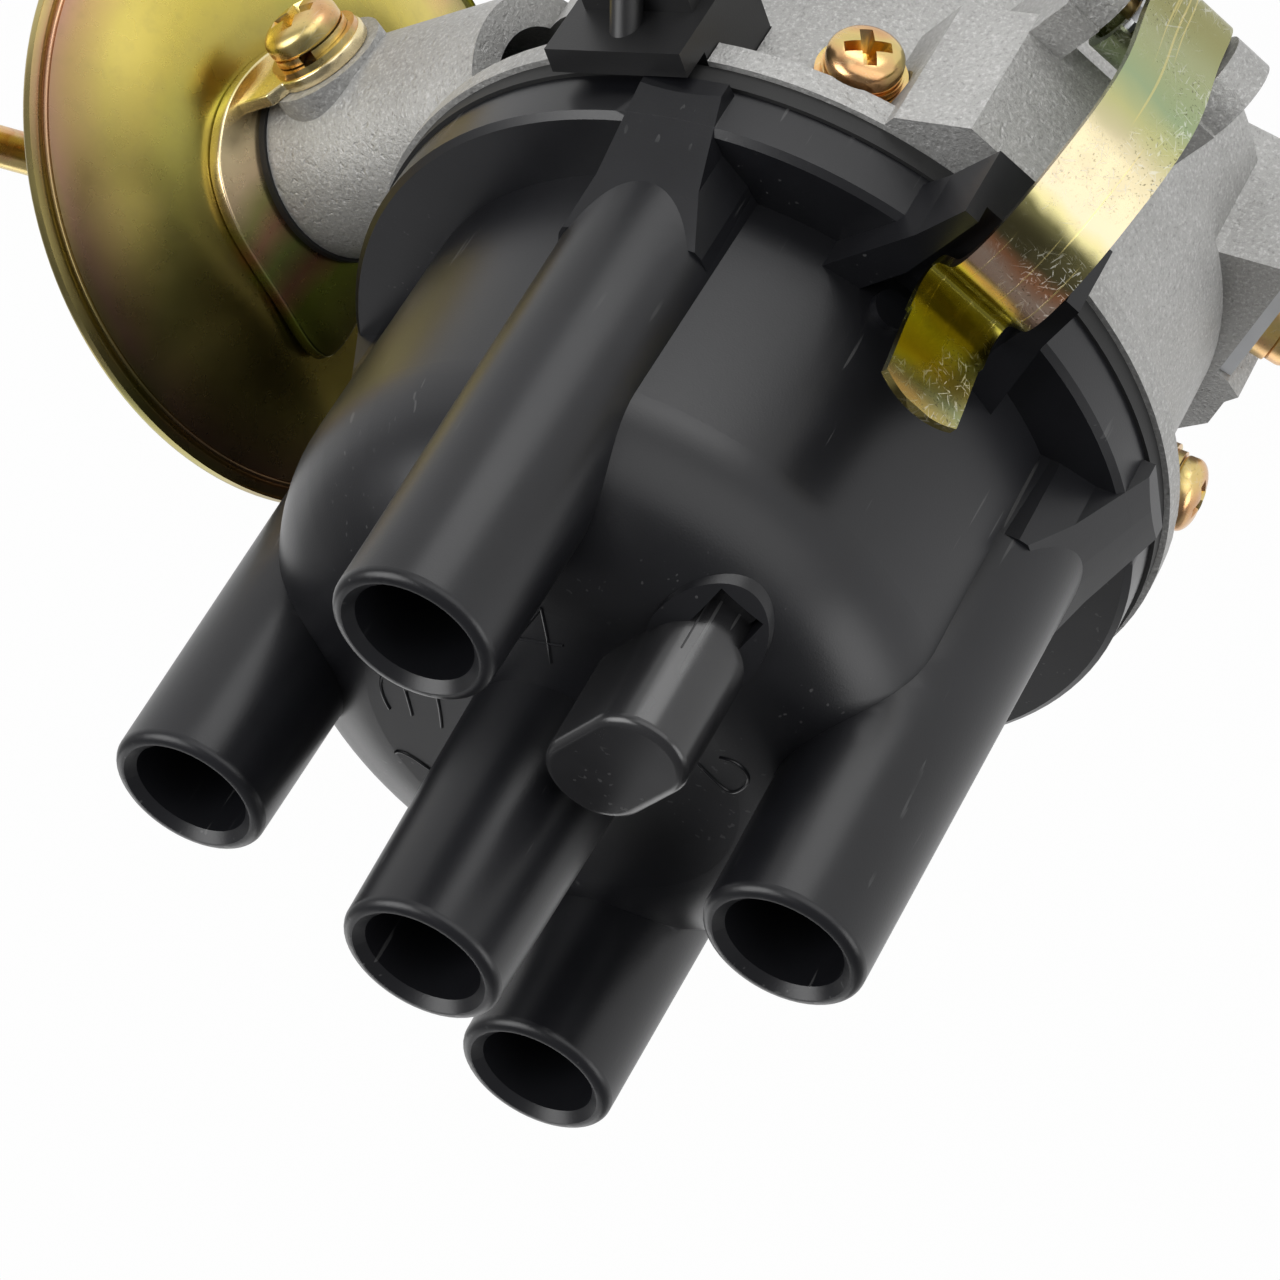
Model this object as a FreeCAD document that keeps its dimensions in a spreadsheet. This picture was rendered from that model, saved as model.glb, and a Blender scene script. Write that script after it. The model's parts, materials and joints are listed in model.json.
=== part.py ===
# Ignition distributor for a four-cylinder engine, in millimetres.
# The origin is on the shaft axis, on the face that seats against the engine block. +Z runs along
# the shaft towards the cap, and +X points at the lead tower nearest to the vacuum unit.
import FreeCAD, Part
import math
import os
import Sketcher
from FreeCAD import Placement, Rotation, Vector

os.makedirs("parts", exist_ok=True)
doc = FreeCAD.newDocument("IgnitionDistributor")
sheet = doc.addObject("Spreadsheet::Sheet", "Sizes")
nodes = {}
UP = Vector(0, 0, 1)


# A size keeps its number beside the formula that ties it to the sheet.
class Size:
    def __init__(self, value, formula):
        self.value = float(value)
        self.formula = formula

    def join(self, other, sign, result):
        return Size(result, "(%s %s %s)" % (self.formula, sign, formula_of(other)))

    def __add__(self, other):
        return self.join(other, "+", self.value + number(other))

    def __sub__(self, other):
        return self.join(other, "-", self.value - number(other))

    def __mul__(self, other):
        return self.join(other, "*", self.value * number(other))

    def __truediv__(self, other):
        return self.join(other, "/", self.value / number(other))

    def __neg__(self):
        return Size(-self.value, "(0 - %s)" % self.formula)

    def __radd__(self, other):
        return self + other

    def __rsub__(self, other):
        return (-self) + other

    def __rmul__(self, other):
        return self * other


def number(value):
    return value.value if isinstance(value, Size) else float(value)


def formula_of(value):
    if isinstance(value, Size):
        return value.formula
    return "%.6f" % value if value >= 0 else "(0 - %.6f)" % -value


rows = []


def size(name, value):
    rows.append(name)
    cell = "A%d" % len(rows)
    sheet.set(cell, str(value))
    sheet.setAlias(cell, name)
    return Size(value, "Sizes." + name)


# Driving sizes of the housing
seam_height = size("seam_height", 60)
cap_seal_thickness = size("cap_seal_thickness", 2)
bowl_radius = size("bowl_radius", 32)
drum_wall = size("drum_wall", 4.3)
lower_drum_wall = size("lower_drum_wall", 3)
rim_width = size("rim_width", 9)
drum_radius = bowl_radius + drum_wall
lower_drum_radius = bowl_radius + lower_drum_wall
rim_radius = bowl_radius + rim_width
rim_depth = size("rim_depth", 2.6)
drum_step_height = size("drum_step_height", 30)
drum_underside = size("drum_underside", 13)
drum_underside_round = size("drum_underside_round", 4)
floor_thickness = size("floor_thickness", 4)
neck_radius = size("neck_radius", 18)
neck_height = size("neck_height", 7)
shank_radius = size("shank_radius", 13.4)
shank_length = size("shank_length", 42)
shank_chamfer = size("shank_chamfer", 1)
ring_groove_height = size("ring_groove_height", -12)
ring_section = size("ring_section", 3)
ring_squeeze = size("ring_squeeze", 0.18)
bush_radius = size("bush_radius", 8)
bush_length = size("bush_length", 16)
shaft_radius = size("shaft_radius", 6)
running_clearance = size("running_clearance", 0.04)
fit_clearance = size("fit_clearance", 0.02)
air_gap = size("air_gap", 0.35)
oil_seal_radius = size("oil_seal_radius", 11)
oil_seal_depth = size("oil_seal_depth", 5)

# Mounting ear
ear_azimuth = size("ear_azimuth", 90)
ear_reach = size("ear_reach", 44)
ear_end_radius = size("ear_end_radius", 10)
ear_thickness = size("ear_thickness", 7)
ear_slot_radius = size("ear_slot_radius", 4.3)
ear_slot_travel = size("ear_slot_travel", 8)

# Vacuum unit
vacuum_azimuth = size("vacuum_azimuth", 26.8)
link_pin_setback = size("link_pin_setback", 3.6)
vacuum_offset = bowl_radius - link_pin_setback
base_plate_drop = size("base_plate_drop", 22.4)
base_plate_height = seam_height - base_plate_drop
link_rise = size("link_rise", 4.9)
vacuum_height = base_plate_height + link_rise
arm_radius = size("arm_radius", 10.5)
arm_length = size("arm_length", 8.7)
arm_face = drum_radius + arm_length
arm_bore_radius = size("arm_bore_radius", 7)
gasket_thickness = size("gasket_thickness", 0.8)
bracket_thickness = size("bracket_thickness", 1.6)
can_radius = size("can_radius", 34.7)
can_rim_distance = size("can_rim_distance", 8.1)
can_rim_position = arm_face + can_rim_distance
can_wall = size("can_wall", 1)
can_neck_radius = size("can_neck_radius", 17)
dome_depth = size("dome_depth", 9)
diaphragm_thickness = size("diaphragm_thickness", 0.8)
link_travel = size("link_travel", 6)
link_width = size("link_width", 7)
link_thickness = size("link_thickness", 1.6)
nipple_radius = size("nipple_radius", 2.1)
nipple_bore_radius = size("nipple_bore_radius", 1.3)

# Cap
flange_setback = size("flange_setback", 1)
flange_radius = rim_radius - flange_setback
flange_thickness = size("flange_thickness", 5.5)
flange_width = size("flange_width", 7)
cap_wall_radius = flange_radius - flange_width
cap_wall = size("cap_wall", 3)
cap_cavity_radius = cap_wall_radius - cap_wall
cavity_step_height = size("cavity_step_height", 25)
cap_pocket_radius = size("cap_pocket_radius", 17.5)
cap_pocket_height = size("cap_pocket_height", 38)
cap_roof_height = size("cap_roof_height", 45)
shoulder_radius = size("shoulder_radius", 14.5)
tower_setback = size("tower_setback", 3.57)
tower_circle_radius = cap_wall_radius - tower_setback
tower_root_radius = size("tower_root_radius", 8.15)
tower_tip_radius = size("tower_tip_radius", 7.55)
tower_height = size("tower_height", 60.3)
centre_tower_height = size("centre_tower_height", 71.3)
socket_radius = size("socket_radius", 5.55)
socket_depth = size("socket_depth", 28)
centre_socket_depth = size("centre_socket_depth", 26)
tip_round = size("tip_round", 1)
tower_count = 4

# Cap clips
clip_azimuth = size("clip_azimuth", 225)
clip_width = size("clip_width", 8.5)
clip_thickness = size("clip_thickness", 0.9)
clip_pin_overhang = size("clip_pin_overhang", 10.2)
clip_pin_reach = rim_radius + clip_pin_overhang
clip_pin_drop = size("clip_pin_drop", 20.4)
clip_pad_overhang = size("clip_pad_overhang", 4.5)
clip_pad_reach = rim_radius + clip_pad_overhang
clip_pad_length = size("clip_pad_length", 16)
clip_pin_radius = size("clip_pin_radius", 0.95)
clip_eye_radius = size("clip_eye_radius", 4.8)
clip_ear_thickness = size("clip_ear_thickness", 3.8)
lug_cheek_gap = size("lug_cheek_gap", 10.4)

# Rotating parts
spigot_radius = size("spigot_radius", 4)
sleeve_radius = size("sleeve_radius", 6.5)
governor_height = size("governor_height", 19)
governor_radius = size("governor_radius", 23)
weight_thickness = size("weight_thickness", 4.5)
weight_pivot_radius = size("weight_pivot_radius", 16)
sleeve_plate_thickness = size("sleeve_plate_thickness", 1.6)
plate_thickness = size("plate_thickness", 1.6)
reluctor_rise = size("reluctor_rise", 7.4)
reluctor_height = base_plate_height + reluctor_rise
reluctor_thickness = size("reluctor_thickness", 6)
rotor_seat_gap = size("rotor_seat_gap", 3)
rotor_seat_height = reluctor_height + reluctor_thickness + rotor_seat_gap
rotor_headroom = size("rotor_headroom", 1)
rotor_top_height = seam_height + cavity_step_height - rotor_headroom
electrode_radius = size("electrode_radius", 2.6)
spark_gap = size("spark_gap", 1.03)
rotor_tip_radius = tower_circle_radius - electrode_radius - spark_gap
coupling_radius = size("coupling_radius", 9)

# Side screws of the base plate
side_screw_azimuths = (251.5, 167)
side_screw_drop = size("side_screw_drop", 8.7)
side_screw_height = seam_height - side_screw_drop
screw_radius = size("screw_radius", 2)
screw_head_radius = size("screw_head_radius", 3.5)
screw_head_height = size("screw_head_height", 2.6)
washer_radius = size("washer_radius", 4)
washer_thickness = size("washer_thickness", 0.8)
doc.recompute()


# Sketch and feature helpers
def new_body(name):
    return doc.addObject("PartDesign::Body", name)


def sketch_on(body, role, height=0):
    sketch = body.newObject("Sketcher::SketchObject", body.Name + "_outline")
    plane = [part for part in body.Origin.OriginFeatures if part.Role == role][0]
    sketch.AttachmentSupport = [(plane, "")]
    sketch.MapMode = "FlatFace"
    sketch.AttachmentOffset = Placement(Vector(0, 0, number(height)), Rotation())
    if isinstance(height, Size):
        sketch.setExpression("AttachmentOffset.Base.z", height.formula)
    return sketch


def tie_point(sketch, geometry, point, x, y):
    for kind, value in (("DistanceX", x), ("DistanceY", y)):
        row = sketch.addConstraint(Sketcher.Constraint(kind, -1, 1, geometry, point, number(value)))
        if isinstance(value, Size):
            sketch.setExpression("Constraints[%d]" % row, value.formula)


def add_outline(sketch, corners):
    first = sketch.GeometryCount
    count = len(corners)
    spots = [Vector(number(x), number(y), 0) for x, y in corners]
    for i in range(count):
        sketch.addGeometry(Part.LineSegment(spots[i], spots[(i + 1) % count]), False)
    for i in range(count):
        sketch.addConstraint(Sketcher.Constraint("Coincident", first + i, 2, first + (i + 1) % count, 1))
    for i in range(count):
        tie_point(sketch, first + i, 1, *corners[i])


def add_circle(sketch, x, y, radius):
    circle = Part.Circle(Vector(number(x), number(y), 0), UP, number(radius))
    place = sketch.addGeometry(circle, False)
    tie_point(sketch, place, 3, x, y)
    row = sketch.addConstraint(Sketcher.Constraint("Radius", place, number(radius)))
    if isinstance(radius, Size):
        sketch.setExpression("Constraints[%d]" % row, radius.formula)


def bind(thing, name, value):
    if isinstance(value, Size):
        thing.setExpression(name, value.formula)
    else:
        setattr(thing, name, value)


def turned(name, corners):
    """A body turned about Z from corners given as (radius, height)."""
    body = new_body(name)
    sketch = sketch_on(body, "XZ_Plane")
    add_outline(sketch, corners)
    feature = body.newObject("PartDesign::Revolution", name + "_turn")
    feature.Profile = sketch
    feature.ReferenceAxis = (sketch, ["V_Axis"])
    feature.Angle = 360
    return body


def plate(name, corners, height, thickness, holes=(), role="XY_Plane", middle=False):
    """A flat piece: an outline of corners, or of one circle, with round holes in it."""
    body = new_body(name)
    sketch = sketch_on(body, role, height)
    if len(corners) > 1:
        add_outline(sketch, corners)
    else:
        add_circle(sketch, *corners[0])
    for hole in holes:
        add_circle(sketch, *hole)
    feature = body.newObject("PartDesign::Pad", name + "_pad")
    feature.Profile = sketch
    feature.Midplane = middle
    bind(feature, "Length", thickness)
    return body


def moved(thing, x=0, y=0, z=0, rotation=None):
    base = Vector(number(x), number(y), number(z))
    thing.Placement = Placement(base, rotation or Rotation())
    for name, value in (("x", x), ("y", y), ("z", z)):
        if isinstance(value, Size):
            thing.setExpression("Placement.Base." + name, value.formula)
    return thing


def turned_to(thing, azimuth):
    """Swings a piece drawn at azimuth 0 round the shaft axis."""
    if thing.TypeId in ("Part::Box", "Part::Cylinder", "Part::Cone"):
        holder = doc.addObject("Part::Compound", thing.Name + "_held")
        holder.Links = [thing]
        thing = holder
    thing.Placement = Placement(Vector(), Rotation(UP, number(azimuth)))
    if isinstance(azimuth, Size):
        thing.setExpression("Placement.Rotation.Angle", azimuth.formula)
    return thing


def cylinder(name, radius, length, x=0, y=0, z=0, rotation=None):
    thing = doc.addObject("Part::Cylinder", name)
    bind(thing, "Radius", radius)
    bind(thing, "Height", length)
    return moved(thing, x, y, z, rotation)


def cone(name, low_radius, high_radius, length, x=0, y=0, z=0, rotation=None):
    thing = doc.addObject("Part::Cone", name)
    bind(thing, "Radius1", low_radius)
    bind(thing, "Radius2", high_radius)
    bind(thing, "Height", length)
    return moved(thing, x, y, z, rotation)


def box(name, x, y, z, length, width, height, rotation=None):
    thing = doc.addObject("Part::Box", name)
    bind(thing, "Length", length)
    bind(thing, "Width", width)
    bind(thing, "Height", height)
    return moved(thing, x, y, z, rotation)


def fuse(name, *shapes):
    thing = doc.addObject("Part::MultiFuse", name)
    thing.Shapes = list(shapes)
    return thing


def common(name, *shapes):
    thing = doc.addObject("Part::MultiCommon", name)
    thing.Shapes = list(shapes)
    return thing


def cut(name, base, *tools):
    thing = doc.addObject("Part::Cut", name)
    thing.Base = base
    thing.Tool = tools[0] if len(tools) == 1 else fuse(name + "_tools", *tools)
    return thing


def stepwise(kind, name, base, *others):
    """Joins or cuts one piece after another, for castings with many bosses."""
    for index, other in enumerate(others):
        last = index == len(others) - 1
        thing = doc.addObject(kind, name if last else "%s_step_%d" % (name, index))
        thing.Base = base
        thing.Tool = other
        base = thing
    return base


def group(name, *shapes):
    thing = doc.addObject("Part::Compound", name)
    thing.Links = list(shapes)
    return thing


def rounded(name, base, radius, chosen):
    """Rounds the edges of a finished solid for which chosen(edge) is true."""
    base.recompute(True)
    thing = doc.addObject("Part::Fillet", name)
    thing.Base = base
    numbers = [i + 1 for i, edge in enumerate(base.Shape.Edges) if chosen(edge)]
    if not numbers:
        raise RuntimeError("no edge to round on " + name)
    thing.Edges = [(i, number(radius), number(radius)) for i in numbers]
    return thing


def is_ring(edge, radius, height):
    curve = edge.Curve
    if not isinstance(curve, Part.Circle):
        return False
    near = abs(curve.Radius - number(radius)) < 0.01 and abs(curve.Center.z - number(height)) < 0.01
    return near and math.hypot(curve.Center.x, curve.Center.y) < 0.01


def shaped(name, shape):
    thing = doc.addObject("Part::Feature", name)
    thing.Shape = shape
    return thing


def polar(radius, azimuth):
    angle = math.radians(number(azimuth))
    return radius * math.cos(angle), radius * math.sin(angle)


def outward(azimuth):
    """Turns local Z to point away from the shaft axis at an azimuth."""
    angle = math.radians(number(azimuth))
    return Rotation(UP, Vector(math.cos(angle), math.sin(angle), 0))


def keep(label, thing):
    for other in doc.getObjectsByLabel(label):
        other.Label = label + "_blank"
    thing.Label = label
    nodes[label] = thing
    return thing


def coil(name, mean_radius, wire_radius, length, turns, start=0.0):
    """A spring about Z, its wire six-sided and twelve facets to a turn."""
    mean_radius, wire_radius, length = number(mean_radius), number(wire_radius), number(length)
    sides, steps = 6, 12 * turns
    rings = []
    for i in range(steps + 1):
        angle = start + 2 * math.pi * i / 12
        outer = Vector(math.cos(angle), math.sin(angle), 0)
        centre = outer * mean_radius + UP * (length * i / steps)
        ring = []
        for k in range(sides):
            lean = 2 * math.pi * k / sides
            ring.append(centre + (outer * math.cos(lean) + UP * math.sin(lean)) * wire_radius)
        rings.append(ring)
    faces = [Part.Face(Part.makePolygon(rings[0] + rings[0][:1]))]
    faces.append(Part.Face(Part.makePolygon(rings[-1] + rings[-1][:1])))
    for low, high in zip(rings, rings[1:]):
        for k in range(sides):
            a, b, c, d = low[k], low[(k + 1) % sides], high[(k + 1) % sides], high[k]
            faces.append(Part.Face(Part.makePolygon([a, b, c, a])))
            faces.append(Part.Face(Part.makePolygon([a, c, d, a])))
    return shaped(name, Part.Solid(Part.Shell(faces)))


# Heights that follow from the driving sizes
rim_top = seam_height - cap_seal_thickness
floor_top = drum_underside + floor_thickness
seal_bottom = floor_top - oil_seal_depth
shank_end = -shank_length
vacuum_angle = math.radians(number(vacuum_azimuth))
pull = Vector(math.cos(vacuum_angle), math.sin(vacuum_angle), 0)
aside = Vector(pull.y, -pull.x, 0)
vacuum_frame = Rotation(aside, Vector(0, 0, -1), pull, "ZXY")


def on_vacuum_axis(thing, along=0):
    """Seats a piece drawn about local Z on the vacuum unit's axis."""
    base_x = vacuum_offset * aside.x + along * pull.x
    base_y = vacuum_offset * aside.y + along * pull.y
    return moved(thing, base_x, base_y, vacuum_height, vacuum_frame)


# Housing, a die casting: turned bowl and shank with the bosses, ear and vacuum arm on it
groove_low = ring_groove_height - ring_section * 0.6
groove_high = ring_groove_height + ring_section * 0.6
groove_radius = shank_radius - ring_section + ring_squeeze
casting = turned("casting", [
    (bush_radius, shank_end), (shank_radius - shank_chamfer, shank_end),
    (shank_radius, shank_end + shank_chamfer), (shank_radius, groove_low),
    (groove_radius, groove_low), (groove_radius, groove_high), (shank_radius, groove_high),
    (shank_radius, 0), (neck_radius, 0), (neck_radius, neck_height),
    (lower_drum_radius - drum_underside_round, drum_underside),
    (lower_drum_radius, drum_underside + drum_underside_round),
    (lower_drum_radius, drum_step_height), (drum_radius, drum_step_height + 1.2),
    (drum_radius, rim_top - rim_depth - 2), (rim_radius, rim_top - rim_depth),
    (rim_radius, rim_top), (bowl_radius, rim_top), (bowl_radius, floor_top),
    (oil_seal_radius, floor_top), (oil_seal_radius, seal_bottom), (bush_radius, seal_bottom)])

ear_plan = plate("ear_plan", [(4, -neck_radius + 1), (ear_reach, -ear_end_radius - ear_slot_travel / 2),
                              (ear_reach, ear_end_radius + ear_slot_travel / 2), (4, neck_radius - 1)],
                 0, ear_thickness)
ear_ends = [cylinder("ear_end_%d" % i, ear_end_radius, ear_thickness, ear_reach, side * ear_slot_travel / 2)
            for i, side in enumerate((-1, 1))]
ear_tip = box("ear_tip", ear_reach, -ear_slot_travel / 2, 0, ear_end_radius, ear_slot_travel, ear_thickness)
ear_slots = [cylinder("ear_slot_%d" % i, ear_slot_radius, ear_thickness * 3, ear_reach,
                      side * ear_slot_travel / 2, -ear_thickness) for i, side in enumerate((-1, 1))]
ear_slot_middle = box("ear_slot_middle", ear_reach - ear_slot_radius, -ear_slot_travel / 2, -ear_thickness,
                      ear_slot_radius * 2, ear_slot_travel, ear_thickness * 3)
ear_inside = cylinder("ear_inside", neck_radius - 2, ear_thickness * 3, 0, 0, -ear_thickness)
ear = cut("ear", fuse("ear_solid", ear_plan, ear_tip, *ear_ends), ear_slot_middle, ear_inside, *ear_slots)
turned_to(ear, ear_azimuth)

arm_start = bowl_radius * 0.5
arm = on_vacuum_axis(cylinder("arm", arm_radius, arm_face - arm_start), arm_start)
arm_bore = on_vacuum_axis(cylinder("arm_bore", arm_bore_radius, arm_face), 1)
bowl_space = cylinder("bowl_space", bowl_radius, rim_top - floor_top + 5, 0, 0, floor_top)

pad_low = rim_top - clip_pad_length
clip_pin_height = seam_height - clip_pin_drop
ear_gap = clip_width + 1.9


def clip_boss(index):
    """Raised pad and two ears that carry one clip pin."""
    pad = plate("clip_pad_%d" % index, [
        (bowl_radius + 1, -8), (rim_radius - 1, -8), (clip_pad_reach, -5.6), (clip_pad_reach, 9),
        (rim_radius - 1, 14), (bowl_radius + 1, 14)], pad_low, rim_top - pad_low)
    ears = []
    for side in (-1, 1):
        inner = ear_gap / 2
        start = inner if side > 0 else -inner - clip_ear_thickness
        name = "clip_ear_%d_%d" % (index, side + 1)
        block = box(name, bowl_radius + 1, start, clip_pin_height - 4.5,
                    clip_pin_reach - bowl_radius - 1, clip_ear_thickness, pad_low + 7 - clip_pin_height)
        nose = cylinder(name + "_nose", 4.5, clip_ear_thickness, clip_pin_reach, start + clip_ear_thickness,
                        clip_pin_height, Rotation(Vector(1, 0, 0), 90))
        ears += [block, nose]
    hole = cylinder("clip_pin_hole_%d" % index, clip_pin_radius + fit_clearance, 40, clip_pin_reach, 20,
                    clip_pin_height, Rotation(Vector(1, 0, 0), 90))
    boss = cut("clip_boss_%d" % index, fuse("clip_boss_solid_%d" % index, pad, *ears), hole)
    return turned_to(boss, clip_azimuth + 180 * index)


flat_azimuth = size("flat_azimuth", 150)
flat_setout = size("flat_setout", 0.5)
flat_offset = drum_radius + flat_setout
flat_lug = plate("flat_lug", [(25, 0), (flat_offset + 1.6, 0.2), (flat_offset + 3.2, 3.4),
                              (flat_offset + 1.4, 4.6), (flat_offset, 4.9),
                              (flat_offset, 22.5), (30, 19.6), (25, 19)],
                 drum_underside, drum_step_height - drum_underside)
flat_shoulder = plate("flat_shoulder", [(25, -12), (flat_offset - 0.1, -8), (flat_offset + 2.6, -4),
                                        (flat_offset + 2.6, 1), (25, 1)],
                      drum_underside, drum_step_height - drum_underside - 1.6)
turned_to(flat_lug, flat_azimuth)
turned_to(flat_shoulder, flat_azimuth)

seat_reach = drum_radius + 0.6
side_pads = []
side_holes = []
for index, azimuth in enumerate(side_screw_azimuths):
    pad_x, pad_y = polar(bowl_radius + 1, azimuth)
    side_pads.append(cylinder("side_pad_%d" % index, washer_radius + 1, drum_radius - bowl_radius - 0.4,
                              pad_x, pad_y, side_screw_height, outward(azimuth)))
    hole_x, hole_y = polar(bowl_radius - 5, azimuth)
    side_holes.append(cylinder("side_hole_%d" % index, screw_radius + 0.2, 20, hole_x, hole_y,
                               side_screw_height, outward(azimuth)))
    face_x, face_y = polar(seat_reach, azimuth)
    side_holes.append(cylinder("side_spot_face_%d" % index, washer_radius + 0.4, 8, face_x, face_y,
                               side_screw_height, outward(azimuth)))

terminal_azimuth = size("terminal_azimuth", 279)
terminal_width = size("terminal_width", 14.2)
terminal_drop = size("terminal_drop", 13)
terminal_low = seam_height - terminal_drop
terminal_notch = turned_to(box("terminal_notch", bowl_radius - 4, -terminal_width / 2, terminal_low, 20,
                               terminal_width, rim_top - terminal_low + 1), terminal_azimuth)
flat_screw_y = size("flat_screw_y", 10.6)
flat_screw_z = size("flat_screw_z", 24.4)
flat_hole = cylinder("flat_hole", 2.1, 10, 0, 0, 0)
flat_angle = math.radians(number(flat_azimuth))
flat_out = Vector(math.cos(flat_angle), math.sin(flat_angle), 0)
flat_side = Vector(-flat_out.y, flat_out.x, 0)


def on_flat(thing, reach):
    """Seats a piece drawn about local Z on the flat lug's screw axis."""
    x = reach * flat_out.x + flat_screw_y * flat_side.x
    y = reach * flat_out.y + flat_screw_y * flat_side.y
    return moved(thing, x, y, flat_screw_z, Rotation(flat_side, UP, flat_out, "ZXY"))


on_flat(flat_hole, flat_offset - 9)
arm_screw_setback = size("arm_screw_setback", 6.5)
arm_screw_along = arm_face - arm_screw_setback
arm_screw_hole = cylinder("arm_screw_hole", 1.7, 8)
arm_screw_frame = Rotation(UP, aside)


def on_arm_side(thing, reach):
    """Seats a piece drawn about local Z on the arm's side, facing away from the shaft."""
    x = (vacuum_offset + reach) * aside.x + arm_screw_along * pull.x
    y = (vacuum_offset + reach) * aside.y + arm_screw_along * pull.y
    return moved(thing, x, y, vacuum_height, arm_screw_frame)


arm_flat = arm_radius + 0.5
arm_pad = on_arm_side(cylinder("arm_pad", 6.4, 4.5), arm_flat - 4.5)
on_arm_side(arm_screw_hole, arm_flat - 6)
housing_solid = stepwise("Part::Fuse", "housing_solid", casting, ear, arm, arm_pad, clip_boss(0),
                         clip_boss(1),
                         flat_lug, flat_shoulder, *side_pads)
housing = stepwise("Part::Cut", "housing", housing_solid, bowl_space, arm_bore, terminal_notch, flat_hole,
                   arm_screw_hole, *side_holes)
keep("housing", housing)

# Bushes, oil seal, O-ring and cap seal
bush_bore = shaft_radius + running_clearance
for label, low in (("lower_bush", shank_end), ("upper_bush", seal_bottom - bush_length)):
    outer = bush_radius - fit_clearance
    keep(label, turned(label, [(bush_bore, low), (outer, low), (outer, low + bush_length),
                               (bush_bore, low + bush_length)]))
keep("oil_seal", turned("oil_seal", [
    (shaft_radius + 0.1, seal_bottom), (oil_seal_radius - fit_clearance, seal_bottom),
    (oil_seal_radius - fit_clearance, floor_top), (shaft_radius + 1.6, floor_top),
    (shaft_radius + 0.1, floor_top - oil_seal_depth / 2)]))
ring = doc.addObject("Part::Torus", "shank_ring")
bind(ring, "Radius1", groove_radius + ring_section / 2 + fit_clearance)
bind(ring, "Radius2", ring_section / 2)
keep("shank_o_ring", moved(ring, z=ring_groove_height))
keep("cap_seal", turned("cap_seal", [
    (flange_radius - 4, rim_top), (flange_radius + 0.4, rim_top),
    (flange_radius + 0.4, seam_height), (flange_radius - 4, seam_height)]))

# Drive shaft with its coupling below the shank
coupling_top = shank_end - 1.5
coupling_length = size("coupling_length", 15)
tongue_width = size("tongue_width", 4.5)
tongue_height = size("tongue_height", 6)
thrust_washer_thickness = size("thrust_washer_thickness", 1)
coupling_bottom = coupling_top - coupling_length
sleeve_screw_radius = size("sleeve_screw_radius", 2)
governor_top = governor_height + plate_thickness
spigot_top = rotor_seat_height + 4
keep("drive_shaft", turned("drive_shaft", [
    (0, coupling_bottom + 1), (shaft_radius, coupling_bottom + 1), (shaft_radius, governor_top + 1),
    (spigot_radius, governor_top + 1), (spigot_radius, spigot_top),
    (sleeve_screw_radius + fit_clearance, spigot_top),
    (sleeve_screw_radius + fit_clearance, spigot_top - 9), (0, spigot_top - 9)]))
roll_pin_radius = size("roll_pin_radius", 2)
roll_pin_height = coupling_top - coupling_length / 2
crosswise = Rotation(Vector(0, 1, 0), 90)
shaft_pin_hole = cylinder("shaft_pin_hole", roll_pin_radius, 60, -30, 0, roll_pin_height, crosswise)
drive_shaft = cut("drive_shaft_drilled", nodes["drive_shaft"], shaft_pin_hole)
coupling_turned = turned("coupling_turned", [
    (shaft_radius + fit_clearance, coupling_bottom + 1), (shaft_radius + fit_clearance, coupling_top),
    (coupling_radius, coupling_top), (coupling_radius, coupling_bottom), (0, coupling_bottom),
    (0, coupling_bottom + 1)])
coupling_tongue = box("coupling_tongue", -coupling_radius, -tongue_width / 2 + 1,
                      coupling_bottom - tongue_height,
                      coupling_radius * 2, tongue_width, tongue_height + 0.5)
tongue_round = cylinder("tongue_round", coupling_radius, tongue_height + 3, 0, 0,
                        coupling_bottom - tongue_height)
coupling_pin_hole = cylinder("coupling_pin_hole", roll_pin_radius, 60, -30, 0, roll_pin_height, crosswise)
coupling = cut("coupling", fuse("coupling_solid", coupling_turned,
                                common("tongue", coupling_tongue, tongue_round)), coupling_pin_hole)
pin_hollow = cylinder("pin_hollow", roll_pin_radius - 0.7, 60, -30, 0, roll_pin_height, crosswise)
pin_solid = cylinder("pin_solid", roll_pin_radius - fit_clearance, coupling_radius * 2 - 0.4,
                     -coupling_radius + 0.2, 0, roll_pin_height, crosswise)
keep("drive_shaft", drive_shaft)
keep("drive_coupling", coupling)
keep("roll_pin", cut("roll_pin", pin_solid, pin_hollow))
washer_low = shank_end - air_gap - thrust_washer_thickness
keep("thrust_washer", turned("thrust_washer", [
    (shaft_radius + 0.3, washer_low), (coupling_radius + 1, washer_low),
    (coupling_radius + 1, shank_end - air_gap), (shaft_radius + 0.3, shank_end - air_gap)]))

# Centrifugal governor: base plate on the shaft, two weights, and the sleeve's slotted plate above
weight_low = governor_top + 0.4
weight_top = weight_low + weight_thickness
sleeve_plate_low = weight_top + 0.6
sleeve_plate_top = sleeve_plate_low + sleeve_plate_thickness
pivot_pin_radius = size("pivot_pin_radius", 1.6)
drive_pin_radius = size("drive_pin_radius", 1.3)
weight_clearance = size("weight_clearance", 0.05)
keep("governor_plate", plate("governor_plate", [(0, 0, governor_radius)], governor_height, plate_thickness,
                             holes=[(0, 0, shaft_radius + fit_clearance)] + [
                                 (side * weight_pivot_radius, 0,
                                  pivot_pin_radius + fit_clearance) for side in (-1, 1)] + [
                                 (side * -18, side * 9, 1.2 + fit_clearance) for side in (-1, 1)]))
spring_height = weight_low + weight_thickness / 2
post_x, post_y = -18, 9
weight_end_x, weight_end_y = -6, 14.5
spring_way = Vector(weight_end_x - post_x, weight_end_y - post_y, 0)
spring_length = spring_way.Length
hook_side = Vector(spring_way.y, -spring_way.x, 0) / spring_length
post_radius = 1.2
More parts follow.
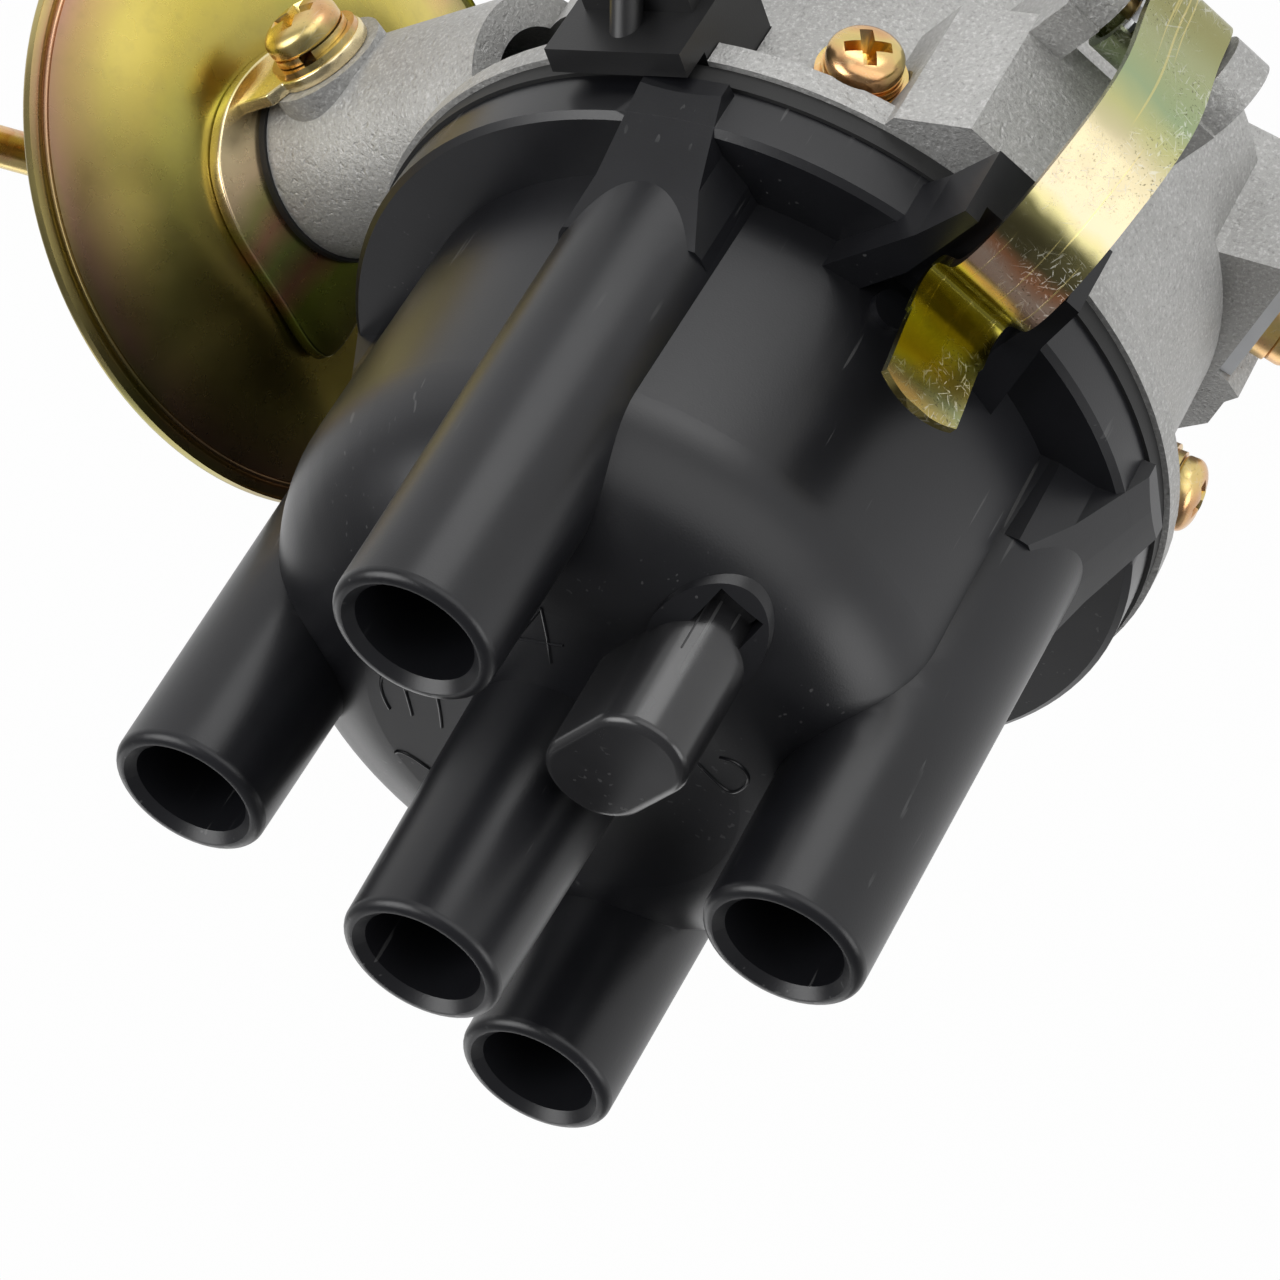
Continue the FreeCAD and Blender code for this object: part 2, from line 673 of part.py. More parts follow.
hook_offset = 1.5
spring_posts = []
governor_springs = []
for index in range(2):
    post = cylinder("spring_post_%d" % index, post_radius, weight_top - governor_height - 0.5, post_x, post_y,
                    governor_height)
    spring_posts.append(turned_to(post, 180 * index))
    wound = coil("governor_coil_%d" % index, hook_offset, 0.4, spring_length - 4.2, 5)
    hooks = [cylinder("governor_hook_%d_%d" % (index, k), 0.4, long, hook_offset, 0, at)
             for k, (at, long) in enumerate(((-0.6, 2.9), (spring_length - 3.2, 2.2)))]
    start = Vector(post_x, post_y, number(spring_height)) + hook_side * (post_radius + 0.45 - hook_offset)
    whole = group("governor_spring_held_%d" % index, moved(wound, z=2.1), *hooks)
    moved(whole, start.x, start.y, start.z, Rotation(hook_side, Vector(0, 0, -1), spring_way, "ZXY"))
    governor_springs.append(turned_to(group("governor_spring_%d" % index, whole), 180 * index))
keep("governor_springs", group("governor_springs", *governor_springs))
keep("governor_posts", group("governor_posts", *spring_posts))
pivots = [cylinder("weight_pivot_%d" % i, pivot_pin_radius, weight_top - governor_height,
                   side * weight_pivot_radius, 0, governor_height) for i, side in enumerate((-1, 1))]
keep("weight_pivots", group("weight_pivots", *pivots))
drive_pin_reach = size("drive_pin_reach", 14)
slot_half_width = drive_pin_radius + 0.25


def governor_weight(index):
    """A crescent weight that swings on its pivot, with the pin that turns the sleeve."""
    outer = cylinder("weight_outer_%d" % index, governor_radius - 1, weight_thickness, 0, 0, weight_low)
    inner = cylinder("weight_inner_%d" % index, sleeve_radius + 3.4, weight_thickness * 3, 0, 0,
                     weight_low - weight_thickness)
    front = box("weight_front_%d" % index, -6, 1.2, weight_low - 1, 30, 30, weight_thickness + 2)
    eye = cylinder("weight_eye_%d" % index, 4, weight_thickness, weight_pivot_radius, 0, weight_low)
    bore = cylinder("weight_bore_%d" % index, pivot_pin_radius + weight_clearance, weight_thickness * 3,
                    weight_pivot_radius, 0, weight_low - weight_thickness)
    pin = cylinder("weight_pin_%d" % index, drive_pin_radius, weight_thickness + 2.4, 0,
                   drive_pin_reach, weight_low)
    crescent = common("weight_crescent_%d" % index, cut("weight_arc_%d" % index, outer, inner), front)
    weight = fuse("weight_%d" % index, cut("weight_plate_%d" % index,
                                           fuse("weight_blank_%d" % index, crescent, eye), bore), pin)
    return turned_to(weight, 180 * index)


keep("weight_a", governor_weight(0))
keep("weight_b", governor_weight(1))

sleeve_bore = spigot_radius + running_clearance
sleeve_low = governor_top + 1.4
sleeve_tube = turned("sleeve_tube", [
    (sleeve_bore, sleeve_low), (sleeve_radius, sleeve_low), (sleeve_radius, rotor_seat_height + 12),
    (sleeve_radius - 1.5, rotor_seat_height + 12), (sleeve_radius - 1.5, spigot_top + 2),
    (sleeve_bore, spigot_top + 2)])
sleeve_disc = plate("sleeve_disc",
                    [(-6, -21), (6, -21), (11, -8), (11, 8), (6, 21), (-6, 21), (-11, 8), (-11, -8)],
                    sleeve_plate_low, sleeve_plate_thickness, holes=[(0, 0, sleeve_radius - 0.5)])
slots = []
for index in range(2):
    slots.append(turned_to(box("sleeve_slot_%d" % index, -slot_half_width,
                               drive_pin_reach - slot_half_width - 0.1,
                               sleeve_plate_low - 1, slot_half_width * 2, 6.8, sleeve_plate_thickness + 2),
                           180 * index))
keep("advance_sleeve", cut("advance_sleeve", fuse("sleeve_solid", sleeve_tube, sleeve_disc), *slots))
keep("sleeve_screw", turned("sleeve_screw", [
    (0, spigot_top - 8), (sleeve_screw_radius, spigot_top - 8), (sleeve_screw_radius, spigot_top + 2.1),
    (sleeve_radius - 1.9, spigot_top + 2.1), (sleeve_radius - 1.9, spigot_top + 4),
    (2.5, spigot_top + 4.8), (0, spigot_top + 4.8)]))

# Reluctor: one tooth for each cylinder, pinned to the sleeve
tooth_reach = size("tooth_reach", 12.5)
reluctor_teeth = [turned_to(box("tooth_%d" % i, sleeve_radius + 0.5, -1.6, reluctor_height,
                                tooth_reach - sleeve_radius - 0.5, 3.2, reluctor_thickness), 90 * i + 45)
                  for i in range(tower_count)]
reluctor_hub = turned("reluctor_hub", [
    (sleeve_radius + fit_clearance, reluctor_height), (sleeve_radius + 2.4, reluctor_height),
    (sleeve_radius + 2.4, reluctor_height + reluctor_thickness),
    (sleeve_radius + fit_clearance, reluctor_height + reluctor_thickness)])
keep("reluctor", fuse("reluctor", reluctor_hub, *reluctor_teeth))

# Base plate fixed in the bowl and the pick-up plate that turns on it
base_top = base_plate_height + plate_thickness
tab_thickness = size("tab_thickness", 2.4)
base_disc = plate("base_disc", [(0, 0, bowl_radius - 0.2)], base_plate_height, plate_thickness,
                  holes=[(0, 0, 14)])
base_collar = turned("base_collar", [(12.4, base_plate_height), (14.2, base_plate_height),
                                     (14.2, base_top + 3), (12.4, base_top + 3)])
tabs = []
for index, azimuth in enumerate(side_screw_azimuths):
    tabs.append(turned_to(box("base_tab_%d" % index, bowl_radius - 0.4 - tab_thickness, -5, base_plate_height,
                              tab_thickness, 10, side_screw_height + 4.5 - base_plate_height), azimuth))
tab_holes = []
for index, azimuth in enumerate(side_screw_azimuths):
    hole_x, hole_y = polar(bowl_radius - 8, azimuth)
    tab_holes.append(cylinder("tab_hole_%d" % index, screw_radius + 0.05, 20, hole_x, hole_y,
                              side_screw_height,
                              outward(azimuth)))
keep("base_plate", cut("base_plate", fuse("base_solid", base_disc, base_collar, *tabs), *tab_holes))
pickup_low = base_top + 0.3
pickup_top = pickup_low + plate_thickness
pickup_setback = size("pickup_setback", 5)
pickup_radius = bowl_radius - pickup_setback
link_pin_radius = size("link_pin_radius", 1.5)
pickup_bore = 14.2 + running_clearance
pickup_disc = plate("pickup_disc", [(0, 0, pickup_radius)], pickup_low, plate_thickness,
                    holes=[(0, 0, pickup_bore)])
link_azimuth = vacuum_azimuth - 90
pickup_tongue = turned_to(box("pickup_tongue", pickup_radius - 3, -3, pickup_low, 6.6, 6, plate_thickness),
                          link_azimuth)
link_pin = cylinder("link_pin", link_pin_radius, vacuum_height + link_thickness + 1 - pickup_low,
                    vacuum_offset * aside.x, vacuum_offset * aside.y, pickup_low)
keep("pickup_plate", fuse("pickup_plate", pickup_disc, pickup_tongue, link_pin))
coil_azimuth = size("coil_azimuth", 130)
keep("pickup_magnet", turned_to(box("pickup_magnet", 16, -6, pickup_top, 7, 12, 3.4), coil_azimuth))
stator_low = pickup_top + 3.4
stator_ring = turned("stator_ring",
                     [(15.4, stator_low), (19, stator_low), (19, stator_low + 1.8),
                      (15.4, stator_low + 1.8)])
stator_foot = turned_to(box("stator_foot", 18, -6, stator_low, 6, 12, 1.8), coil_azimuth)
poles = []
for index in range(tower_count):
    poles.append(turned_to(box("pole_%d" % index, tooth_reach + 0.5, -1.6, stator_low, 3.4, 3.2,
                               reluctor_height + reluctor_thickness - stator_low), 90 * index + 45))
keep("stator", stepwise("Part::Fuse", "stator", stator_ring, stator_foot, *poles))
winding = turned("winding", [(2, 0), (4.4, 0), (4.4, 9), (2, 9)])
core_x, core_y = polar(22.4, coil_azimuth)
winding_x, winding_y = core_x, core_y
moved(winding, winding_x - 4.5 * math.sin(math.radians(130)), winding_y + 4.5 * math.cos(math.radians(130)),
      stator_low + 6.4, Rotation(UP, Vector(math.sin(math.radians(130)), -math.cos(math.radians(130)), 0)))
keep("pickup_coil", winding)

# Rotor arm with its sprung contact strip
rotor_socket = sleeve_radius + running_clearance
rotor_body = turned("rotor_body", [
    (rotor_socket, rotor_seat_height), (13.5, rotor_seat_height), (13.5, rotor_seat_height + 3),
    (10, rotor_seat_height + 5), (9, rotor_top_height - 8), (7, rotor_top_height - 3.4),
    (0, rotor_top_height - 3.4),
    (0, rotor_seat_height + 13), (rotor_socket, rotor_seat_height + 13)])
rotor_wing = plate("rotor_wing", [(0, -6.5), (rotor_tip_radius - 3, -5), (rotor_tip_radius - 1.4, 0),
                                  (rotor_tip_radius - 3, 5), (0, 6.5)], rotor_top_height - 8, 4.6)
rotor_tail = plate("rotor_tail", [(0, -6), (-13, -4), (-13, 4), (0, 6)], rotor_top_height - 8, 4.6)
keep("rotor_arm", fuse("rotor_arm", rotor_body, rotor_wing, rotor_tail))
strip_low = rotor_top_height - 3.4
rotor_blade = plate("rotor_blade",
                    [(8, -3.2), (rotor_tip_radius, -3.2), (rotor_tip_radius, 3.2), (8, 3.2)], strip_low,
                    1.6)
rotor_spring = plate("rotor_spring",
                     [(-4, 1.4), (-4, 1.8), (3, 1.8), (8, 0.4), (14, 0.4), (14, 0), (8, 0), (3, 1.4)],
                     0, 5, role="XZ_Plane", middle=True)
moved(rotor_spring, z=strip_low + 1.6)
keep("rotor_blade", rotor_blade)
keep("rotor_spring", rotor_spring)

# Vacuum unit: gasket, bracket, two crimped shells, diaphragm, spring and link
bracket_low = arm_face + gasket_thickness
bracket_high = bracket_low + bracket_thickness
keep("vacuum_gasket", on_vacuum_axis(turned("vacuum_gasket", [
    (arm_bore_radius, arm_face), (arm_radius + 0.3, arm_face), (arm_radius + 0.3, bracket_low),
    (arm_bore_radius, bracket_low)])))
bracket_blank = plate("bracket_blank", [(13.6, 5), (15, -4.5), (11.5, -12.6), (4, -16.4), (-11, -18.2),
                                        (-12.8, -15), (-12.2, -4), (-11, 9), (0, 13.4), (10, 11)],
                      bracket_low, bracket_thickness, holes=[(0, 0, arm_bore_radius)])


def stands_off(edge):
    """True for a straight edge along local Z that is no seam of the middle hole."""
    low, high = edge.Vertexes[0].Point, edge.Vertexes[-1].Point
    return abs(high.z - low.z) > 0.1 and math.hypot(low.x, low.y) > 9


bracket_plate = rounded("bracket_plate", bracket_blank, 3, stands_off)
bracket_tab = box("bracket_tab", arm_flat, -6.4, arm_screw_along - 5.5, 1.4, 12.8,
                  bracket_high - arm_screw_along + 5.5)
bracket_tab_hole = cylinder("bracket_tab_hole", 2.2, 12, arm_flat - 3, 0, arm_screw_along, crosswise)
keep("vacuum_bracket", on_vacuum_axis(cut("vacuum_bracket", fuse("bracket_solid", bracket_plate, bracket_tab),
                                          bracket_tab_hole)))
inner_rim = can_rim_position - 1.4
outer_rim = can_rim_position + 1.4
keep("vacuum_inner_shell", on_vacuum_axis(turned("vacuum_inner_shell", [
    (arm_bore_radius, bracket_high), (can_neck_radius, bracket_high), (can_radius - 5, inner_rim - 1.5),
    (can_radius - 2.4, inner_rim), (can_radius - 1.4, inner_rim), (can_radius - 1.4, inner_rim + can_wall),
    (can_radius - 2.6, inner_rim + can_wall), (can_radius - 5.4, inner_rim - 0.5),
    (can_neck_radius - 0.4, bracket_high + can_wall), (arm_bore_radius, bracket_high + can_wall)])))
dome_top = outer_rim + dome_depth
diaphragm_low = inner_rim + can_wall
diaphragm_high = diaphragm_low + diaphragm_thickness
keep("vacuum_outer_shell", on_vacuum_axis(turned("vacuum_outer_shell", [
    (can_radius - 2.4, inner_rim - 0.8), (can_radius - 0.6, inner_rim - 0.8), (can_radius, inner_rim),
    (can_radius, outer_rim - 0.4), (can_radius - 0.6, outer_rim), (can_radius - 3, outer_rim),
    (can_radius - 9, outer_rim + 5), (12, dome_top), (4, dome_top), (4, dome_top - can_wall),
    (12 - 0.4, dome_top - can_wall), (can_radius - 9.6, outer_rim + 4), (can_radius - 3.6, diaphragm_high),
    (can_radius - 1.2, diaphragm_high), (can_radius - 1.2, inner_rim - 0.1),
    (can_radius - 2.4, inner_rim - 0.1)])))
plate_radius = size("plate_radius", 16)
keep("diaphragm", on_vacuum_axis(turned("diaphragm", [
    (plate_radius + air_gap, diaphragm_low), (can_radius - 1.4, diaphragm_low),
    (can_radius - 1.4, diaphragm_high),
    (plate_radius + air_gap, diaphragm_high)])))
disc_low = diaphragm_low - 1.2
keep("diaphragm_plates", on_vacuum_axis(turned("diaphragm_plates", [
    (0, disc_low), (plate_radius, disc_low), (plate_radius, disc_low + 3), (9.8, disc_low + 3),
    (9.8, disc_low + 1.2),
    (0, disc_low + 1.2)])))
spring_low = disc_low + 1.2
vacuum_spring = coil("vacuum_spring_coil", 7.6, 0.7, dome_top - can_wall - spring_low - 1.6, 3)
keep("vacuum_spring", on_vacuum_axis(vacuum_spring, spring_low + 0.8))
nipple_reach = size("nipple_reach", 27)
nipple_lean = size("nipple_lean", 37)


def nipple():
    """Hose pipe: out of the dome's middle, then bent across towards the near side."""
    stem = number(dome_top) + 5
    lean = math.radians(number(nipple_lean))
    across = Vector(math.cos(lean), -math.sin(lean), 0)
    low = Vector(0, 0, number(dome_top) - number(can_wall))
    bend = 5.0
    corner = Vector(0, 0, stem)
    start = corner - UP * bend
    stop = corner + across * bend
    middle = corner + (across - UP) * bend * (1 - math.sqrt(0.5))
    tip = corner + across * number(nipple_reach)
    edges = [Part.LineSegment(low, start).toShape(), Part.Arc(start, middle, stop).toShape(),
             Part.LineSegment(stop, tip).toShape()]
    route = Part.Wire(edges)
    pipes = []
    for radius in (number(nipple_radius), number(nipple_bore_radius)):
        section = Part.Wire(Part.makeCircle(radius, low, UP))
        pipes.append(route.makePipeShell([section], True, False))
    bore_end = Part.makeCylinder(number(nipple_bore_radius), 4, tip - across * 3.5, across)
    flange = Part.makeCylinder(4 - number(fit_clearance), number(can_wall), low, UP)
    return pipes[0].fuse(flange).cut([pipes[1], bore_end])


keep("vacuum_nipple", on_vacuum_axis(shaped("vacuum_nipple", nipple())))
link_end = vacuum_offset
eye_half_width = link_pin_radius + 0.3
link_bar = box("link_bar", -2.2, -link_thickness / 2, -4.5, 4.4, link_thickness, disc_low + 4.5)
link_slot = box("link_slot", -eye_half_width - 0.5, -link_thickness, -eye_half_width,
                eye_half_width * 2 + 0.7,
                link_thickness * 2, eye_half_width * 2)
link_head = cylinder("link_head", 3.3, link_thickness, -0.2, link_thickness / 2, 0,
                     Rotation(Vector(1, 0, 0), 90))
keep("vacuum_link", on_vacuum_axis(cut("vacuum_link", fuse("link_solid", link_bar, link_head), link_slot)))

# Screws with captive spring and flat washers
def pan_screw(name, radius, head_radius, head_height, length):
    """Screw head down on z = 0, cross slot in the crown, shank towards -Z."""
    crown = turned(name + "_turned", [
        (0, -length), (radius - 0.4, -length), (radius, -length + 0.5), (radius, 0), (head_radius, 0),
        (head_radius, head_height * 0.45), (head_radius * 0.75, head_height * 0.85),
        (head_radius * 0.3, head_height), (0, head_height)])
    slots = [box(name + "_slot_%d" % i, -head_radius * sizes[0], -head_radius * sizes[1], head_height * 0.45,
                 head_radius * sizes[0] * 2, head_radius * sizes[1] * 2, head_height)
             for i, sizes in enumerate(((0.62, 0.11), (0.11, 0.62)))]
    return cut(name, crown, *slots)


def washer(name, outer, inner, thickness, base):
    return turned(name, [(inner, base), (outer, base), (outer, base + thickness), (inner, base + thickness)])


side_screws = []
spring_washers = []
flat_washers = []
for index, azimuth in enumerate(side_screw_azimuths):
    spots = []
    for thing, shift in ((washer("flat_washer_%d" % index, washer_radius, screw_radius + 0.15,
                                 washer_thickness, 0), 0),
                         (washer("spring_washer_%d" % index, washer_radius - 0.5, screw_radius + 0.15,
                                 washer_thickness, 0), washer_thickness),
                         (pan_screw("side_screw_%d" % index, screw_radius, screw_head_radius,
                                    screw_head_height,
                                    10), washer_thickness * 2)):
        x, y = polar(seat_reach + shift, azimuth)
        moved(thing, x, y, side_screw_height, outward(azimuth))
        spots.append(thing)
    flat_washers.append(spots[0])
    spring_washers.append(spots[1])
    side_screws.append(spots[2])
keep("side_screws", group("side_screws", *side_screws))
keep("side_screw_spring_washers", group("side_screw_spring_washers", *spring_washers))
keep("side_screw_flat_washers", group("side_screw_flat_washers", *flat_washers))

arm_seat = arm_flat + 1.4
keep("bracket_screw_washer", on_arm_side(washer("bracket_screw_washer", washer_radius, screw_radius + 0.15,
                                                washer_thickness, 0), arm_seat))
keep("bracket_screw", on_arm_side(pan_screw("bracket_screw", screw_radius - 0.35, screw_head_radius,
                                            screw_head_height, 7.5), arm_seat + washer_thickness))

flat_plate_thickness = size("flat_plate_thickness", 1.3)
flat_plate = plate("flat_plate", [(-5.4, -8.5), (7, -8.5), (9.4, -5), (9.4, 5.3), (-5.4, 5.3)], 0,
                   flat_plate_thickness,
                   holes=[(0, 0, 2.7)])
keep("earth_plate", on_flat(flat_plate, flat_offset))
keep("earth_screw_washer", on_flat(washer("earth_screw_washer", 4.7, 2.65, 1.6, 0),
                                   flat_offset + flat_plate_thickness))
keep("earth_screw", on_flat(pan_screw("earth_screw", 2.1 - fit_clearance, 4.4, 3.2, 10),
                            flat_offset + flat_plate_thickness + 1.6))

# Terminal block in the rim notch, with two blade pins
block_inner = bowl_radius - 1.6
terminal_gap = size("terminal_gap", 0.1)
terminal_overhang = size("terminal_overhang", 2.8)
terminal_reach = rim_radius + terminal_overhang
plug_length = size("plug_length", 16.2)
plug_reach = terminal_reach + plug_length
block_base = box("block_base", flange_radius + 1.2, -terminal_width / 2 + terminal_gap,
                 terminal_low + terminal_gap,
                 terminal_reach - flange_radius - 1.2, terminal_width - terminal_gap * 2, 14.3)
block_root = box("block_root", block_inner, -terminal_width / 2 + terminal_gap, terminal_low + terminal_gap,
                 flange_radius + 1.3 - block_inner, terminal_width - terminal_gap * 2,
                 rim_top - terminal_low - 0.3)
block_plug = box("block_plug", terminal_reach - 0.5, -5.6, terminal_low + 0.6,
                 plug_reach - terminal_reach + 0.5,
                 11.2, 8)
plug_room = box("plug_room", terminal_reach + 6, -4.4, terminal_low + 1.8, plug_reach, 8.8, 5.6)
post_axis = Vector(0.8, 0, -0.6)
block_post = cylinder("block_post", 1.5, 5, terminal_reach - 1.2, 0.3, terminal_low + 11.5,
                      Rotation(UP, post_axis))
blade_holes = [box("blade_hole_%d" % i, block_inner - 1, side * 2.4 - 0.5, terminal_low + 3, 40, 1, 3.2)
               for i, side in enumerate((-1, 1))]
keep("terminal_block", turned_to(cut("terminal_block",
                                     fuse("block_solid", block_base, block_root, block_post, block_plug),
                                     plug_room, *blade_holes), terminal_azimuth))
blades = [box("blade_%d" % i, block_inner - 1.2, side * 2.4 - 0.45, terminal_low + 3.05, plug_reach - 32,
              0.9, 3.1)
          for i, side in enumerate((-1, 1))]
keep("terminal_blades", turned_to(group("terminal_blades", *blades), terminal_azimuth))

# Cap: turned shell with a big shoulder radius, four towers, the centre tower, lugs and vent boss
cap_outside = turned("cap_outside", [
    (0, 0), (flange_radius, 0), (flange_radius, flange_thickness - 0.6),
    (flange_radius - 0.6, flange_thickness),
    (cap_wall_radius, flange_thickness), (cap_wall_radius, cap_roof_height), (0, cap_roof_height)])
cap_shoulder = rounded("cap_shoulder", cap_outside, shoulder_radius,
                       lambda edge: is_ring(edge, cap_wall_radius, cap_roof_height))
swell_rise = size("swell_rise", 0.8)
swell_blank = cylinder("swell_blank", cap_wall_radius + swell_rise, cap_roof_height + swell_rise)
swell = rounded("swell", swell_blank, shoulder_radius + swell_rise,
                lambda edge: is_ring(edge, cap_wall_radius + swell_rise, cap_roof_height + swell_rise))
towers = []
sockets = []


def socket(name, depth, top, x=0, y=0):
    """Room for one lead's terminal, with a lead-in at the mouth."""
    room = cylinder(name + "_room", socket_radius, depth + 1, x, y, top - depth)
    mouth = cone(name + "_mouth", socket_radius, socket_radius + 0.9, 0.9, x, y, top - 0.85)
    return fuse(name, room, mouth)


def tower(name, root, foot, top, x=0, y=0):
    blank = cone(name + "_blank", root, tower_tip_radius, top - foot, x, y, foot)
    return rounded(name, blank, tip_round, lambda edge: edge.BoundBox.ZMin > number(top) - 0.01)


for index in range(tower_count):
    x, y = polar(tower_circle_radius, 90 * index)
    towers.append(tower("tower_%d" % index, tower_root_radius, 0.5, tower_height, x, y))
    foot = common("tower_foot_%d" % index, plate("foot_plan_%d" % index, [
        (flange_radius - 10, -8), (flange_radius - 6, -7), (flange_radius - 2.8, -5),
        (flange_radius + 1, -4), (flange_radius + 1, 4), (flange_radius - 2.8, 5),
        (flange_radius - 6, 7), (flange_radius - 10, 8)], 0.5, 15),
        cone("foot_slope_%d" % index, flange_radius + 1.9, flange_radius - 4.6, 15, 0, 0, 0.5))
    towers.append(turned_to(foot, 90 * index))
    sockets.append(socket("socket_%d" % index, socket_depth, tower_height, x, y))
towers.append(tower("centre_tower", tower_root_radius + 0.2, 38, centre_tower_height))
sockets.append(socket("centre_socket", centre_socket_depth, centre_tower_height))
vent_azimuth = size("vent_azimuth", 223.3)
vent_inner = size("vent_inner", 11.1)
vent_setback = size("vent_setback", 6)
vent_outer = cap_wall_radius - vent_setback
vent_half_width = size("vent_half_width", 4.85)
vent_top = size("vent_top", 56)
vent_boss = common("vent_boss", turned_to(cylinder("vent_round", 5, 24, cap_wall_radius - 7.9, 0, 22),
                                           clip_azimuth), swell)
vent_slot = turned_to(box("vent_slot", cap_wall_radius - 9, -2.4, 36.5, 5.1, 4.8, 10), clip_azimuth)
cap_pip = turned_to(cylinder("cap_pip", 1.9, 2.6, cap_wall_radius - 2, 3.2, 9, Rotation(Vector(0, 1, 0), 90)),
                    clip_azimuth)
lug_overhang = size("lug_overhang", 8.8)
lug_reach = flange_radius + lug_overhang
lug_parts = []
for index in range(2):
    for side in (-1, 1):
        half = lug_cheek_gap / 2
        name = "lug_cheek_%d_%d" % (index, side + 1)
        cheek = plate(name, [(flange_radius - 9, side * (half + 5.1)),
                             (flange_radius + 2.5, side * (half + 2.3)), (lug_reach, side * (half + 1.5)),
                             (lug_reach, side * half), (flange_radius - 2, side * half),
                             (flange_radius - 9, side * (half + 1.6))], 0.8, 8)
        lug_parts.append(turned_to(cheek, clip_azimuth + 180 * index))
    bridge = box("lug_bridge_%d" % index, flange_radius - 4, -half - 0.5, 0.8, 12.8, lug_cheek_gap + 1, 6)
    lug_parts.append(turned_to(bridge, clip_azimuth + 180 * index))
cap_mass = stepwise("Part::Fuse", "cap_mass", cap_shoulder, vent_boss, cap_pip, *towers, *lug_parts)
cavity = turned("cavity", [
    (0, -1), (cap_cavity_radius, -1), (cap_cavity_radius, cavity_step_height),
    (cap_pocket_radius, cavity_step_height),
    (cap_pocket_radius, cap_pocket_height), (6, cap_pocket_height), (6, cap_pocket_height - 9),
    (0, cap_pocket_height - 9)])
brush_radius = size("brush_radius", 2.5)
centre_floor = centre_tower_height - centre_socket_depth
contact_radius = size("contact_radius", 4.5)
contact_thickness = size("contact_thickness", 1.5)
brush_bore = cylinder("brush_bore", brush_radius + running_clearance,
                      centre_floor - contact_thickness - 4.5, 0, 0, 5)
centre_recess = cylinder("centre_recess", contact_radius + fit_clearance, contact_thickness + 0.5, 0, 0,
                         centre_floor - contact_thickness)
electrode_low = size("electrode_low", 15)
electrode_holes = [centre_recess]
electrodes = []
floor = tower_height - socket_depth
for index in range(tower_count):
    x, y = polar(tower_circle_radius, 90 * index)
    electrode_holes.append(cylinder("electrode_hole_%d" % index, electrode_radius + fit_clearance,
                                    floor - 1 - electrode_low, x, y, electrode_low))
    electrode_holes.append(cylinder("electrode_recess_%d" % index, contact_radius + fit_clearance,
                                    contact_thickness + 0.5, x, y, floor - contact_thickness))
    stem = cylinder("electrode_stem_%d" % index, electrode_radius, floor - 1 - electrode_low, x, y,
                    electrode_low)
    head = cylinder("electrode_head_%d" % index, contact_radius, contact_thickness, x, y,
                    floor - contact_thickness)
    electrodes.append(fuse("electrode_%d" % index, stem, head))
cap_body = cut("cap_body", cap_mass, cavity, brush_bore, vent_slot, *sockets, *electrode_holes)
keep("distributor_cap", moved(cap_body, z=seam_height))
keep("side_electrodes", moved(group("side_electrodes", *electrodes), z=seam_height))
keep("centre_terminal", cylinder("centre_terminal", contact_radius, contact_thickness, 0, 0,
                                 seam_height + centre_floor - contact_thickness))
brush_bottom = rotor_top_height - seam_height + 0.05
brush_length = size("brush_length", 11)
keep("carbon_brush", moved(cylinder("carbon_brush", brush_radius, brush_length),
                           z=seam_height + brush_bottom))
brush_spring_low = brush_bottom + brush_length + 0.4
brush_spring = coil("brush_spring_coil", 1.7, 0.3,
                    centre_floor - contact_thickness - brush_spring_low - 0.35, 5)
keep("brush_spring", moved(brush_spring, z=seam_height + brush_spring_low))

# Vent cover: a separate prism that stands on the shoulder, its underside cut to the cap
vent_bar = box("vent_bar", vent_inner + vent_half_width, -vent_half_width, 30,
               vent_outer - vent_inner - vent_half_width * 2, vent_half_width * 2, vent_top - 30)
vent_end = cylinder("vent_end", vent_half_width, vent_top - 30, vent_outer - vent_half_width, 0, 30)
vent_nose = cylinder("vent_nose", vent_half_width, vent_top - 30, vent_inner + vent_half_width, 0, 30)
vent_block = fuse("vent_block", vent_bar, vent_end, vent_nose)
vent_block.Refine = True
vent_prism = rounded("vent_prism", vent_block, 0.9, lambda edge: edge.BoundBox.ZMin > number(vent_top) - 0.01)
vent_tongue = turned_to(box("vent_tongue", cap_wall_radius - 8.7, -2, 36.8, 4.2, 4, 3.9), clip_azimuth)
vent_stem = turned_to(box("vent_stem", cap_wall_radius - 8.7, -2, 36.8, 2, 4, 10), clip_azimuth)
vent_raw = fuse("vent_raw", turned_to(vent_prism, vent_azimuth), vent_tongue, vent_stem)
cap_under_vent = cut("cap_under_vent", fuse("cap_for_vent", cap_shoulder, vent_boss), vent_slot)
vent_cover = cut("vent_cover", vent_raw, cap_under_vent)
keep("vent_cover", moved(vent_cover, z=seam_height))


